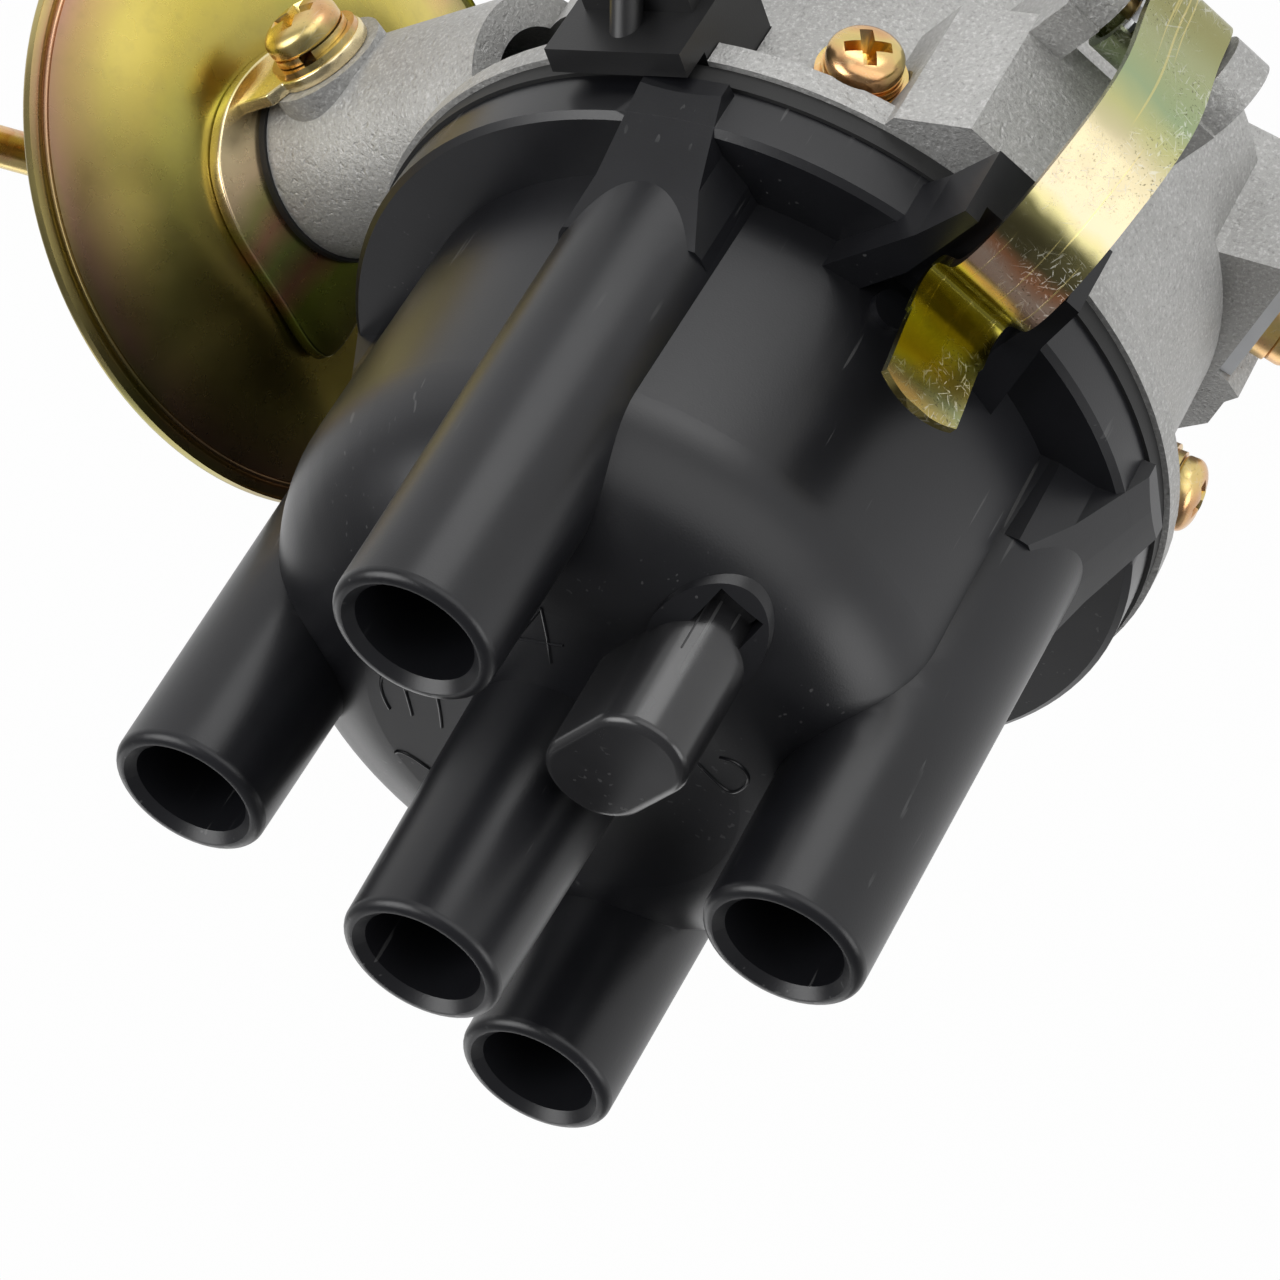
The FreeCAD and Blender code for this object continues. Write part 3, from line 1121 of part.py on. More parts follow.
# Cap clips: one bent strip each, rolled round its pin at the foot, with a detent and a finger tab
def clip_strip(index):
    pin = Vector(number(clip_pin_reach), 0, number(clip_pin_height))
    eye = number(clip_eye_radius) - number(clip_thickness) / 2
    route = []
    for degrees in range(70, 350, 40):
        angle = math.radians(degrees)
        route.append(pin + Vector(math.cos(angle), 0, math.sin(angle)) * eye)
    seam = number(seam_height)
    for over, rise in ((4.7, -18), (5.9, -13.5), (7.1, -9.5), (7.6, -6), (7.3, -3), (6.4, 0), (5, 3),
                       (3.1, 6.4), (0.4, 9.8), (-2.2, 11.6), (-4.3, 11.9), (-6.3, 10.7), (-8.6, 8.9),
                       (-10.4, 8.1), (-11.3, 9.2), (-11.1, 12), (-10.2, 16), (-7.9, 24.6)):
        route.append(Vector(pin.x + over, 0, seam + rise))
    middle = Part.BSplineCurve()
    middle.interpolate(route)
    low, high = middle.FirstParameter, middle.LastParameter
    count = 60
    sides = ([], [])
    for i in range(count + 1):
        at = low + (high - low) * i / count
        spot, way = middle.value(at), middle.tangent(at)[0]
        across = Vector(-way.z, 0, way.x) * (number(clip_thickness) / 2)
        sides[0].append(spot + across)
        sides[1].append(spot - across)
    curves = []
    for points in sides:
        curve = Part.BSplineCurve()
        curve.approximate(Points=points, DegMin=3, DegMax=5, Tolerance=0.02)
        curves.append(curve.toShape())
    ends = []
    for side in (0, 1):
        first = curves[0].Vertexes[-side].Point
        other = curves[1].Vertexes[-side].Point
        ends.append(Part.makeLine(first, other))
    face = Part.Face(Part.Wire(Part.__sortEdges__(curves + ends)))
    width = number(clip_width)
    face.translate(Vector(0, -width / 2, 0))
    strip = face.extrude(Vector(0, width, 0))
    tab = width / 2 - 0.25
    tip_radius = 6.5
    tip_rise = tip_radius - math.sqrt(tip_radius ** 2 - tab ** 2)
    tab_top = max(point.z for point in sides[0] + sides[1])
    body = Part.makeBox(80, width + 2, seam + 14, Vector(0, -width / 2 - 1, 0))
    finger = Part.makeBox(80, tab * 2, tab_top - tip_rise, Vector(0, -tab, 0))
    tip = Part.makeCylinder(tip_radius, 80, Vector(0, 0, tab_top - tip_radius), Vector(1, 0, 0))
    tall_finger = Part.makeBox(80, tab * 2, tab_top, Vector(0, -tab, 0))
    return strip.common(body.fuse([finger, tip.common(tall_finger)]))


for index, name in enumerate(("cap_clip_a", "cap_clip_b")):
    keep(name, turned_to(shaped(name, clip_strip(index)), clip_azimuth + 180 * index))
pin_length = ear_gap + clip_ear_thickness * 2 + 0.6
pins = []
wires = []
for index in range(2):
    pins.append(turned_to(group("clip_pin_holder_%d" % index, cylinder(
        "clip_pin_%d" % index, clip_pin_radius, pin_length, clip_pin_reach, pin_length / 2, clip_pin_height,
        Rotation(Vector(1, 0, 0), 90))), clip_azimuth + 180 * index))
    wire = coil("clip_wire_coil_%d" % index, 2.3, 0.5, 7, 4)
    moved(wire, clip_pin_reach, 3.5, clip_pin_height, Rotation(Vector(1, 0, 0), 90))
    wires.append(turned_to(group("clip_wire_holder_%d" % index, wire), clip_azimuth + 180 * index))
keep("clip_pins", group("clip_pins", *pins))
keep("clip_springs", group("clip_springs", *wires))

# Check and write
doc.recompute()
faults = []
for thing in doc.Objects:
    if "Invalid" in thing.State or "Error" in thing.State:
        faults.append("%s is %s" % (thing.Name, thing.State))
for label, thing in nodes.items():
    if thing.Label != label:
        faults.append("%s is labelled %s" % (label, thing.Label))
    if thing.Shape.isNull() or not thing.Shape.isValid():
        faults.append("%s has no valid shape" % label)
if faults:
    raise RuntimeError("; ".join(faults))
for label, thing in nodes.items():
    thing.Shape.exportStep("parts/%s.step" % label)
    print(label, len(thing.Shape.Solids), "solid(s)", round(thing.Shape.Volume, 1), "mm3")
print(len(nodes), "nodes")
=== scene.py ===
# %% [markdown]
# # An ignition distributor, dressed for its photograph
# The solids of this distributor come from CAD and stay exactly where they are. What is missing is
# how they look: sand-rough die casting, satin black moulding, and zinc plating that shimmers
# from gold to pink to green. Most of this lesson is about materials made of nodes, and the rest
# gives the pressed and screwed parts their real curves.

# %% Load the solids
import bpy
import bmesh
import json
import math
from mathutils import Matrix, Vector


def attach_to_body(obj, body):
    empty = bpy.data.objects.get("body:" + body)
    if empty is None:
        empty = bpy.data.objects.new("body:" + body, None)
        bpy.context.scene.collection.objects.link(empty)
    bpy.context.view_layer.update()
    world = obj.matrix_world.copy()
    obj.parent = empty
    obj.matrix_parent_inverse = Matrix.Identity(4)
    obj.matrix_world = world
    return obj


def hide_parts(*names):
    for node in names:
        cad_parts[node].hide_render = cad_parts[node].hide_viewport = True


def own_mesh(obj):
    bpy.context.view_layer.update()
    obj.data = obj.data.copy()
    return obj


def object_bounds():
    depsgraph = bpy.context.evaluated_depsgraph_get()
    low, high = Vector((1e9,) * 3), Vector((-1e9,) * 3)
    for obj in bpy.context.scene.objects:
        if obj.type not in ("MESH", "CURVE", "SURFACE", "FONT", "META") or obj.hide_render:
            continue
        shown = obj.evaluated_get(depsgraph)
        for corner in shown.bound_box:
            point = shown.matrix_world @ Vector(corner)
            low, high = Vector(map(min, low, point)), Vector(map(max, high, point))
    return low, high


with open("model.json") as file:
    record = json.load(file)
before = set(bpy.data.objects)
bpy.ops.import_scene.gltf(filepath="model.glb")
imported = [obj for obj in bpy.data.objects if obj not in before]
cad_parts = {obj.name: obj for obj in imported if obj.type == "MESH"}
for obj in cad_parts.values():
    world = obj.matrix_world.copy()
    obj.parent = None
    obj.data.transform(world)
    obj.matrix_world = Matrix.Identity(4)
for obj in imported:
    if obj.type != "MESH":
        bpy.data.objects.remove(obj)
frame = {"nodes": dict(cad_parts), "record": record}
nodes = frame["nodes"]
cad_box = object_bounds()
print(len(nodes), "solids, box", [round(v, 4) for v in cad_box[0]], [round(v, 4) for v in cad_box[1]])

# %% [markdown]
# ## Smooth shading
# An exported solid arrives as flat triangles. Curved faces look faceted unless neighbouring
# faces share their normals, and sharp edges must stay sharp. Marking edges by angle does both.

# %% Shade by angle
SHARP_ANGLE = 32
for solid in nodes.values():
    solid.data.shade_smooth()
    solid.data.set_sharp_from_angle(angle=math.radians(SHARP_ANGLE))
print("shaded", len(nodes))

# %% [markdown]
# ## Arithmetic on sockets
# A material is a graph, but most of it is plain arithmetic: mask times bump, one minus wear.
# The class below wraps one output socket, so that such sums are written as ordinary Python. Numbers
# go through Math nodes, colours through Mix and vectors through Vector Math.

# %% Signals and finishes
class Signal:
    """One output socket, on which Python's operators add nodes."""

    def __init__(self, finish, socket):
        self.finish = finish
        self.socket = socket

    def combined(self, operation, other, swapped=False):
        """One node over this signal and another, or a number or vector."""
        kind = "ShaderNodeVectorMath" if self.socket.type == "VECTOR" else "ShaderNodeMath"
        sides = [other, self] if swapped else [self, other]
        return self.finish.node(kind, dict(enumerate(sides)), operation=operation)

    def __add__(self, other):
        return self.combined("ADD", other)

    def __sub__(self, other):
        return self.combined("SUBTRACT", other)

    def __mul__(self, other):
        return self.combined("MULTIPLY", other)

    def __radd__(self, other):
        return self.combined("ADD", other, True)

    def __rsub__(self, other):
        return self.combined("SUBTRACT", other, True)

    def __rmul__(self, other):
        return self.combined("MULTIPLY", other, True)

    def window(self, low, high):
        """0 below low, 1 above high, a soft step between."""
        return self.finish.node("ShaderNodeMapRange", {"Value": self, "From Min": low, "From Max": high},
                                interpolation_type="SMOOTHSTEP")

    def blend(self, low, high):
        """The colour low where this signal is 0, and high where it is 1."""
        return self.finish.node("ShaderNodeMix", {0: self, 6: low, 7: high}, out=2, data_type="RGBA")


class Graph:
    """The node tree of a material or a world."""

    def __init__(self, owner):
        owner.use_nodes = True
        self.tree = owner.node_tree

    def node(self, kind, sockets=None, out=0, stops=None, **settings):
        """A new node with its sockets fed, as a signal of its output."""
        made = self.tree.nodes.new(kind)
        for name, value in settings.items():
            setattr(made, name, value)
        if stops:
            ramp = made.color_ramp.elements
            while len(ramp) < len(stops):
                ramp.new(0.5)
            for element, (place, colour) in zip(ramp, stops):
                element.position = place
                element.color = (*colour, 1)
        for name, value in (sockets or {}).items():
            self.feed(made.inputs[name], value)
        return Signal(self, made.outputs[out])

    def feed(self, socket, value):
        if isinstance(value, Signal):
            self.tree.links.new(value.socket, socket)
        elif socket.type == "RGBA" and len(value) == 3:
            socket.default_value = (*value, 1)
        else:
            socket.default_value = value

    def ramp(self, signal, stops):
        return self.node("ShaderNodeValToRGB", {"Fac": signal}, stops=stops)

    def out(self, node, name):
        return Signal(self, node.socket.node.outputs[name])


class Finish(Graph):
    """A material with one Principled shader, whose varying inputs are fed by signals."""

    def __init__(self, name, **constants):
        self.material = bpy.data.materials.new(name)
        super().__init__(self.material)
        self.shader = self.tree.nodes["Principled BSDF"]
        for name, value in constants.items():
            self.named(name).default_value = value

    def named(self, name):
        """A socket of the shader by its Python name: base_color is Base Color, ior is IOR."""
        return self.shader.inputs["IOR" if name == "ior" else name.replace("_", " ").title()]

    def place(self):
        """Where a point is on the object, in metres, riding with the piece."""
        return self.node("ShaderNodeTexCoord", out=3)

    def stretched(self, scales):
        return self.node("ShaderNodeMapping", {"Vector": self.place(), "Scale": scales})

    def noise(self, scale, detail=3, rough=0.5, at=None, warp=0):
        return self.node("ShaderNodeTexNoise", {
            "Vector": at or self.place(), "Scale": scale, "Detail": detail, "Roughness": rough,
            "Distortion": warp})

    def height(self):
        """The height of a point on the object, in metres."""
        return self.out(self.node("ShaderNodeSeparateXYZ", {0: self.place()}), "Z")

    def along(self, direction):
        """How far a point lies along a direction, in metres."""
        return self.node("ShaderNodeVectorMath", {0: self.place(), 1: direction}, out=1,
                         operation="DOT_PRODUCT")

    def use(self, **sockets):
        """Feeds the shader's sockets, named in Python style."""
        for name, value in sockets.items():
            self.feed(self.named(name), value)
        return self

    def bump(self, height, distance, strength=1.0, under=None):
        """Bends the normals by a height; distance is in metres."""
        sockets = {"Height": height, "Distance": distance, "Strength": strength}
        if under:
            sockets["Normal"] = under
        return self.node("ShaderNodeBump", sockets)


finishes = {}
print("shader maths ready")

# %% [markdown]
# ## Die-cast housing
# The housing is cast in a steel mould and then tumbled in grit, so it is metal with a dull,
# evenly pitted skin. Fine noise gives the grain, and the bump follows it: its peaks carry bright specks,
# which are painted glints, and its hollows dark ones, which are painted shade. Slow noise gives the faint
# patches that handling leaves. A painted texture would do too, but noise has no seams and no smallest dot.

# %% Die casting
CAST_DARK = (0.36, 0.357, 0.345)
CAST_PALE = (0.43, 0.427, 0.415)
CAST_PAINTED_GLINT = (0.66, 0.655, 0.645)
CAST_HOLLOW_PAINTED_SHADE = (0.22, 0.218, 0.21)


def die_casting():
    skin = Finish("die_cast", metallic=0.55, roughness=0.55)
    clouds = skin.noise(60, detail=4, rough=0.6)
    grit = skin.noise(2400, detail=3, rough=0.7)
    pits = skin.noise(1100, detail=2, rough=0.5).window(0.58, 0.75)
    colour = clouds.window(0.3, 0.7).blend(CAST_DARK, CAST_PALE)
    # Painted glints: bright specks on the peaks of the grain.
    colour = (grit.window(0.52, 0.66) * 0.5).blend(colour, CAST_PAINTED_GLINT)
    # Painted shade: dark specks in the hollows of the grain.
    colour = ((1 - grit).window(0.54, 0.68) * 0.5).blend(colour, CAST_HOLLOW_PAINTED_SHADE)
    skin.use(base_color=colour, roughness=0.44 + 0.2 * grit)
    skin.use(normal=skin.bump(grit - 0.6 * pits, distance=0.00012, strength=0.9))
    return skin


finishes["die_cast"] = die_casting()
print("die casting")

# %% [markdown]
# ## Black mouldings
# The cap is phenolic moulding: black, satin, with the sheen of a worn tool. Its surface shows
# faint haze and a few hair scratches. The small vent cover comes from a polished mould and is
# glossier. One recipe serves these and the small moulded parts inside, with tone, roughness and
# grain as the difference.

# %% Mouldings
HAIR_SCRATCH = (0.09, 0.09, 0.09)


def moulding(name, tone, roughness, grain, ior=1.5):
    skin = Finish(name, metallic=0.0, roughness=roughness, ior=ior)
    haze = skin.noise(45, detail=4, rough=0.6)
    grit = skin.noise(5200, detail=2, rough=0.5)
    hair = skin.noise(1500, detail=1, rough=0.5, at=skin.stretched((1.0, 1.0, 0.06))).window(0.70, 0.73)
    hair = hair * skin.noise(70, detail=2, rough=0.5).window(0.5, 0.6)
    colour = haze.window(0.3, 0.75).blend([v * 0.8 for v in tone], [v * 1.35 for v in tone])
    skin.use(base_color=(hair * 0.5).blend(colour, HAIR_SCRATCH))
    skin.use(roughness=roughness + 0.16 * (haze - 0.5) + 0.05 * (grit - 0.5))
    skin.use(normal=skin.bump(grit, distance=0.00002, strength=grain))
    return skin


mouldings = {"cap_moulding": ((0.0070, 0.0072, 0.0088), 0.34, 0.35, 1.46),
             "cover_moulding": ((0.016, 0.016, 0.017), 0.24, 0.1, 1.58),
             "terminal_moulding": ((0.0095, 0.0095, 0.01), 0.42, 0.4),
             "magnet": ((0.04, 0.04, 0.042), 0.55, 0.6),
             "carbon": ((0.016, 0.016, 0.018), 0.45, 0.5),
             "rotor_moulding": ((0.10, 0.030, 0.012), 0.3, 0.15),
             "coil_winding": ((0.16, 0.03, 0.01), 0.25, 0.2)}
for name, numbers in mouldings.items():
    finishes[name] = moulding(name, *numbers)
print("mouldings", len(mouldings))

# %% [markdown]
# ## Rubber
# Seals and gaskets are matt, slightly grey and softly grained, with no clear highlight.

# %% Rubber
for name, tone in (("seal_rubber", 0.010), ("ring_rubber", 0.013), ("fabric_rubber", 0.018)):
    skin = Finish(name, roughness=0.62)
    cloud = skin.noise(150, detail=3, rough=0.6)
    grain = skin.noise(2500, detail=2, rough=0.6)
    skin.use(base_color=cloud.blend((tone * 0.7,) * 3, (tone * 1.6,) * 3), roughness=0.55 + 0.2 * cloud)
    finishes[name] = skin.use(normal=skin.bump(grain, distance=0.00003, strength=0.5))
print("rubber")

# %% [markdown]
# ## Directions and sizes
# The vacuum can hangs on an arm beside the drum, so its axis is slanted to the part's own X and Y.
# Two directions and a centre say where it is, and both its finish and its shape are measured from
# them. Sizes are written in millimetres, and MM turns them into Blender's metres.

# %% Directions
MM = 0.001
UP = Vector((0, 0, 1))
DOWN = -UP
VACUUM_OUT = Vector((0.89259, 0.45088, 0))
VACUUM_SIDE = Vector((0.45088, -0.89259, 0))
CAN_HEIGHT = 42.5
CAN_OFFSET = 28.4
CAN_CENTRE = VACUUM_SIDE * CAN_OFFSET + UP * CAN_HEIGHT
print("can centre", [round(v, 1) for v in CAN_CENTRE])


def towards(azimuth):
    """The level direction at an azimuth in degrees."""
    return Vector((math.cos(math.radians(azimuth)), math.sin(math.radians(azimuth)), 0))


# %% [markdown]
# ## Yellow zinc plating
# Chromate on zinc is a clear film about as thick as a wave of light, so its colour follows the
# film's thickness: straw, gold, rose and green. The can hung in the bath by its middle, and the
# film ran to the rim, so its bands are rings about the can's axis, bent by slow noise. A real film
# could be worked out from its thickness, but a ramp of colours, read at the distance from the axis,
# is easier to steer. The side towards the cap is painted darker: painted shade for the black cap that it
# reflects.

# %% Yellow zinc on the can
FILM_GREEN = (0.30, 0.40, 0.08)
# Painted shade: the dark colour laid on the side of the can towards the cap.
FILM_PAINTED_SHADE = (0.16, 0.125, 0.05)
FILM_CLOUD = (0.26, 0.21, 0.09)
FILM = [(0.0, (0.26, 0.22, 0.06)), (0.45, (0.42, 0.35, 0.09)), (0.62, (0.60, 0.49, 0.10)),
        (0.76, (0.70, 0.57, 0.14)), (0.86, (0.72, 0.48, 0.20)), (0.92, (0.74, 0.40, 0.29)),
        (0.97, (0.62, 0.50, 0.18)), (1.0, (0.66, 0.56, 0.20))]


def from_axis(skin, spot, axis):
    """Distance in metres from an axis, as a signal."""
    lever = skin.node("ShaderNodeVectorMath", {0: skin.place() - spot, 1: axis}, operation="CROSS_PRODUCT")
    return skin.node("ShaderNodeVectorMath", {0: lever}, out=1, operation="LENGTH")


def zinc_on_can():
    skin = Finish("can_zinc", metallic=1.0, roughness=0.25)
    reach = from_axis(skin, CAN_CENTRE * MM, VACUUM_OUT)
    drift = skin.noise(17, detail=2, rough=0.45, warp=0.3)
    mottle = skin.noise(160, detail=3, rough=0.6)
    film = reach * 28.8 + (drift - 0.5) * 0.34 + (mottle - 0.5) * 0.04
    green = skin.noise(34, detail=2, rough=0.5, warp=0.6).window(0.52, 0.68)
    colour = (green * 0.55).blend(skin.ramp(film, FILM), FILM_GREEN)
    # Painted shade: the upper side of the can, towards the cap, is darkened towards this colour.
    dull = (skin.height().window(0.038, 0.068) * 0.62).blend(colour, FILM_PAINTED_SHADE)
    cloud = skin.noise(420, detail=3, rough=0.65)
    skin.use(base_color=(cloud.window(0.45, 0.8) * 0.2).blend(dull, FILM_CLOUD))
    skin.use(roughness=0.20 + 0.10 * mottle + 0.05 * cloud)
    skin.use(normal=skin.bump(cloud, distance=0.000004, strength=0.3))
    return skin


finishes["yellow_zinc"] = zinc_on_can()
print("can zinc")

# %% [markdown]
# ## Clips and screws
# The clips are spring strip, plated and then rubbed by hands and boxes. Their film is ramped along
# the bent strip, which is measured as height less reach, so the green, straw, dark and salmon areas
# lie across it. Fine bright lines run along it, and in rubbed patches short pale scratches lie in
# four directions. The screws went through in a barrel: their film changes from spot to spot.

# %% Yellow zinc on strip and screws
STRIP = [(0.0, (0.31, 0.30, 0.13)), (0.10, (0.36, 0.40, 0.20)), (0.17, (0.34, 0.42, 0.24)),
         (0.23, (0.54, 0.53, 0.25)), (0.30, (0.65, 0.57, 0.36)), (0.47, (0.67, 0.56, 0.38)),
         (0.505, (0.60, 0.54, 0.26)), (0.53, (0.13, 0.12, 0.05)), (0.60, (0.15, 0.13, 0.06)),
         (0.625, (0.56, 0.26, 0.13)), (0.66, (0.64, 0.46, 0.34)), (0.71, (0.60, 0.40, 0.30)),
         (0.735, (0.62, 0.56, 0.08)), (0.80, (0.34, 0.28, 0.05)), (0.87, (0.52, 0.52, 0.11)),
         (0.93, (0.50, 0.40, 0.08)), (0.97, (0.34, 0.38, 0.18)), (1.0, (0.44, 0.36, 0.12))]
HEADS = [(0.0, (0.54, 0.47, 0.18)), (0.4, (0.72, 0.54, 0.22)), (0.6, (0.70, 0.43, 0.20)),
         (0.8, (0.58, 0.32, 0.15)), (1.0, (0.68, 0.58, 0.30))]
BRACKET = [(0.0, (0.62, 0.58, 0.22)), (0.12, (0.84, 0.70, 0.42)), (0.30, (0.84, 0.64, 0.40)),
           (0.38, (0.52, 0.48, 0.18)), (0.45, (0.62, 0.34, 0.20)), (0.53, (0.36, 0.42, 0.12)),
           (0.62, (0.34, 0.17, 0.10)), (0.70, (0.16, 0.19, 0.03)), (0.85, (0.09, 0.09, 0.02)),
           (1.0, (0.09, 0.05, 0.02))]
CLIP_AZIMUTH = 45
PALE_SCRATCH = (0.80, 0.80, 0.74)
SPECK = (0.10, 0.09, 0.05)
RUBBED_LINE = (0.80, 0.66, 0.26)
SCRATCH_WAYS = ((25, 4200), (78, 5200), (-48, 3400), (-10, 4600))


def strip_way(skin):
    """Metres along the bent strip, and across it."""
    reach = skin.node("ShaderNodeMath", {0: skin.along(towards(CLIP_AZIMUTH))}, operation="ABSOLUTE")
    return skin.height() - reach, skin.along(towards(CLIP_AZIMUTH - 90))


def worn(skin, colour, rubbed, ways):
    """Pale scratches and dark specks where the piece was rubbed, and the roughness they bring."""
    patch = skin.noise(120, detail=3, rough=0.6).window(0.40, 0.60)
    along, across = ways
    scratches = 0
    for turn, finest in SCRATCH_WAYS:
        c, s = math.cos(math.radians(turn)), math.sin(math.radians(turn))
        lane = skin.node("ShaderNodeCombineXYZ", {0: across * c + along * s,
                                                  1: (along * c - across * s) * 0.13})
        scratches = scratches + skin.noise(finest, detail=1, rough=0.5, at=lane, warp=0.7).window(0.66, 0.72)
    scratches = scratches.window(0, 1) * patch * rubbed
    specks = skin.noise(3600, detail=2, rough=0.6).window(0.60, 0.68) * patch * rubbed
    marked = (scratches * 0.48).blend((specks * 0.7).blend(colour, SPECK), PALE_SCRATCH)
    return marked, 0.2 + 0.25 * scratches + 0.12 * patch + 0.1 * specks, scratches


def zinc_on_strip():
    skin = Finish("clip_zinc", metallic=1.0, roughness=0.3)
    along, across = strip_way(skin)
    drift = skin.noise(90, detail=3, rough=0.55, warp=0.5) - 0.5
    film = (along + 0.015) * 17.8 + drift * 0.10
    marked, dull, scratches = worn(skin, skin.ramp(film, STRIP), 1.0, (along, across))
    rails = skin.node("ShaderNodeCombineXYZ", {0: across, 1: along * 0.012})
    lines = skin.noise(1900, detail=1, rough=0.5, at=rails).window(0.665, 0.69)
    skin.use(base_color=(lines * 0.45).blend(marked, RUBBED_LINE), roughness=dull)
    ridges = skin.bump(lines, distance=0.000015, strength=0.6)
    skin.use(normal=skin.bump(scratches, distance=0.00001, strength=0.5, under=ridges))
    return skin


def zinc_on_screws():
    skin = Finish("screw_zinc", metallic=1.0, roughness=0.3)
    film = (skin.noise(150, detail=2, rough=0.5, warp=0.5) - 0.5) * 2.1 + 0.5
    marked, dull, scratches = worn(skin, skin.ramp(film, HEADS), 0.35, strip_way(skin))
    skin.use(normal=skin.bump(scratches, distance=0.00001, strength=0.4))
    return skin.use(base_color=marked, roughness=dull)


def zinc_on_bracket():
    """Stripes down the stamped plate: it hung by its screw hole, and the film ran away from it."""
    skin = Finish("bracket_zinc", metallic=1.0, roughness=0.25)
    drift = skin.noise(60, detail=2, rough=0.5, warp=0.4) - 0.5
    film = skin.along(-VACUUM_SIDE) * 32.0 + 1.40 + drift * 0.25
    mottle = skin.noise(800, detail=3, rough=0.6)
    return skin.use(base_color=skin.ramp(film, BRACKET), roughness=0.2 + 0.12 * mottle)


finishes["clip_zinc"] = zinc_on_strip()
finishes["screw_zinc"] = zinc_on_screws()
finishes["bracket_zinc"] = zinc_on_bracket()
print("worn zinc")

# %% [markdown]
# ## Plain metals
# Steel, bronze, brass and aluminium differ in colour and in how they were finished, and share
# one recipe: turning marks in the bump, and a light cloud in the roughness.

# %% Plain metals
def plain_metal(name, tone, roughness):
    skin = Finish(name, metallic=1.0, roughness=roughness)
    cloud = skin.noise(120, detail=3, rough=0.6)
    turning = skin.noise(1800, detail=2, rough=0.5, at=skin.stretched((0.1, 0.1, 1.0)))
    skin.use(base_color=cloud.blend([v * 0.82 for v in tone], [min(1, v * 1.1) for v in tone]))
    skin.use(roughness=roughness + 0.14 * cloud)
    skin.use(normal=skin.bump(turning, distance=0.00001, strength=0.6))
    return skin


metals = {"clear_zinc": ((0.66, 0.67, 0.68), 0.26), "plain_steel": ((0.50, 0.50, 0.51), 0.28),
          "sintered_steel": ((0.30, 0.30, 0.30), 0.5), "bush_bronze": ((0.55, 0.36, 0.17), 0.35),
          "contact_brass": ((0.80, 0.60, 0.27), 0.28), "electrode_alloy": ((0.72, 0.72, 0.73), 0.3)}
for name, (tone, roughness) in metals.items():
    finishes[name] = plain_metal(name, tone, roughness)
print("plain metals", len(metals))

# %% [markdown]
# ## Turned pieces
# The vacuum can is two round steel shells, and a screw is a headed bar whose thread is hidden in
# its hole, so each of them is a line turned about an axis. The helper turns a profile, given as radius
# and height in millimetres, into rings of faces, and puts it on the axis it belongs to.

# %% Turn a profile
def axes(side, up, out, spot):
    """A frame whose X, Y and Z run along three directions, with its origin in millimetres."""
    return Matrix.Translation(spot * MM) @ Matrix((side, up, out)).transposed().to_4x4()


def linked(name, data):
    """A new object in the scene that holds the data."""
    made = bpy.data.objects.new(name, data)
    bpy.context.scene.collection.objects.link(made)
    return made


def new_mesh(name, points, faces, seat):
    """An object from points in millimetres, in the frame of its seat."""
    mesh = bpy.data.meshes.new(name)
    mesh.from_pydata([seat @ (Vector(point) * MM) for point in points], [], faces)
    mesh.validate()
    return linked(name, mesh)


def evaluated_mesh(piece):
    """The piece's mesh with its modifiers, or its curve's bevel, worked out."""
    return bpy.data.meshes.new_from_object(piece.evaluated_get(bpy.context.evaluated_depsgraph_get()))


def bake(piece):
    """Puts the piece's modifiers into its mesh."""
    baked = evaluated_mesh(piece)
    piece.modifiers.clear()
    piece.data = baked


def attach(piece, node):
    """The piece stands for a node of the body and rides with it."""
    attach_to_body(piece, "body")
    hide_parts(node)


def smooth(piece, degrees=SHARP_ANGLE):
    piece.data.shade_smooth()
    piece.data.set_sharp_from_angle(angle=math.radians(degrees))


def turned(name, profile, seat, steps=160):
    """Rings of faces round the local Z of seat; a profile that ends on the axis is closed there."""
    points, rows = [], []
    for radius, height in profile:
        if radius == 0:
            rows.append([len(points)] * steps)
            points.append((0, 0, height))
            continue
        rows.append([len(points) + i for i in range(steps)])
        for i in range(steps):
            angle = 2 * math.pi * i / steps
            points.append((radius * math.cos(angle), radius * math.sin(angle), height))
    if profile[0] == profile[-1]:
        rows[-1] = rows[0]
    faces = []
    for low, high in zip(rows, rows[1:]):
        for i in range(steps):
            corners = [low[i], low[(i + 1) % steps], high[(i + 1) % steps], high[i]]
            faces.append(list(dict.fromkeys(corners)))
    made = new_mesh(name, points, faces, seat)
    smooth(made)
    return made


def arc(centre, radius, start, stop, steps=6):
    """Points of a rounded corner in a profile, angles in degrees."""
    turn = [math.radians(start + (stop - start) * i / steps) for i in range(steps + 1)]
    return [(centre[0] + radius * math.cos(a), centre[1] + radius * math.sin(a)) for a in turn]


vacuum_seat = axes(VACUUM_SIDE, DOWN, VACUUM_OUT, CAN_CENTRE)
print("vacuum axis at", [round(v, 4) for v in vacuum_seat.translation])

# %% [markdown]
# ## Vacuum can
# The can is two dished shells crimped at the rim. The near one is a shallow smooth dish, so it
# shows one slow gradient from bright gold to nearly black and no step; its dark end is painted shade
# in its finish. Its rim is a narrow rolled bead with a groove inside it. The CAD shells have straight
# cones there, so both get a skin with the real curve, on the same axis and at the same size.

# %% Dish and shell
STRAIGHT_SHARE = 0.45


def eased(start, stop, steps=14):
    """A profile line between a straight one and one that leaves and arrives flat, as pressed sheet."""
    line = []
    for i in range(steps + 1):
        part = i / steps
        rise = STRAIGHT_SHARE * part + (1 - STRAIGHT_SHARE) * part * part * (3 - 2 * part)
        line.append((start[0] + (stop[0] - start[0]) * part, start[1] + (stop[1] - start[1]) * rise))
    return line


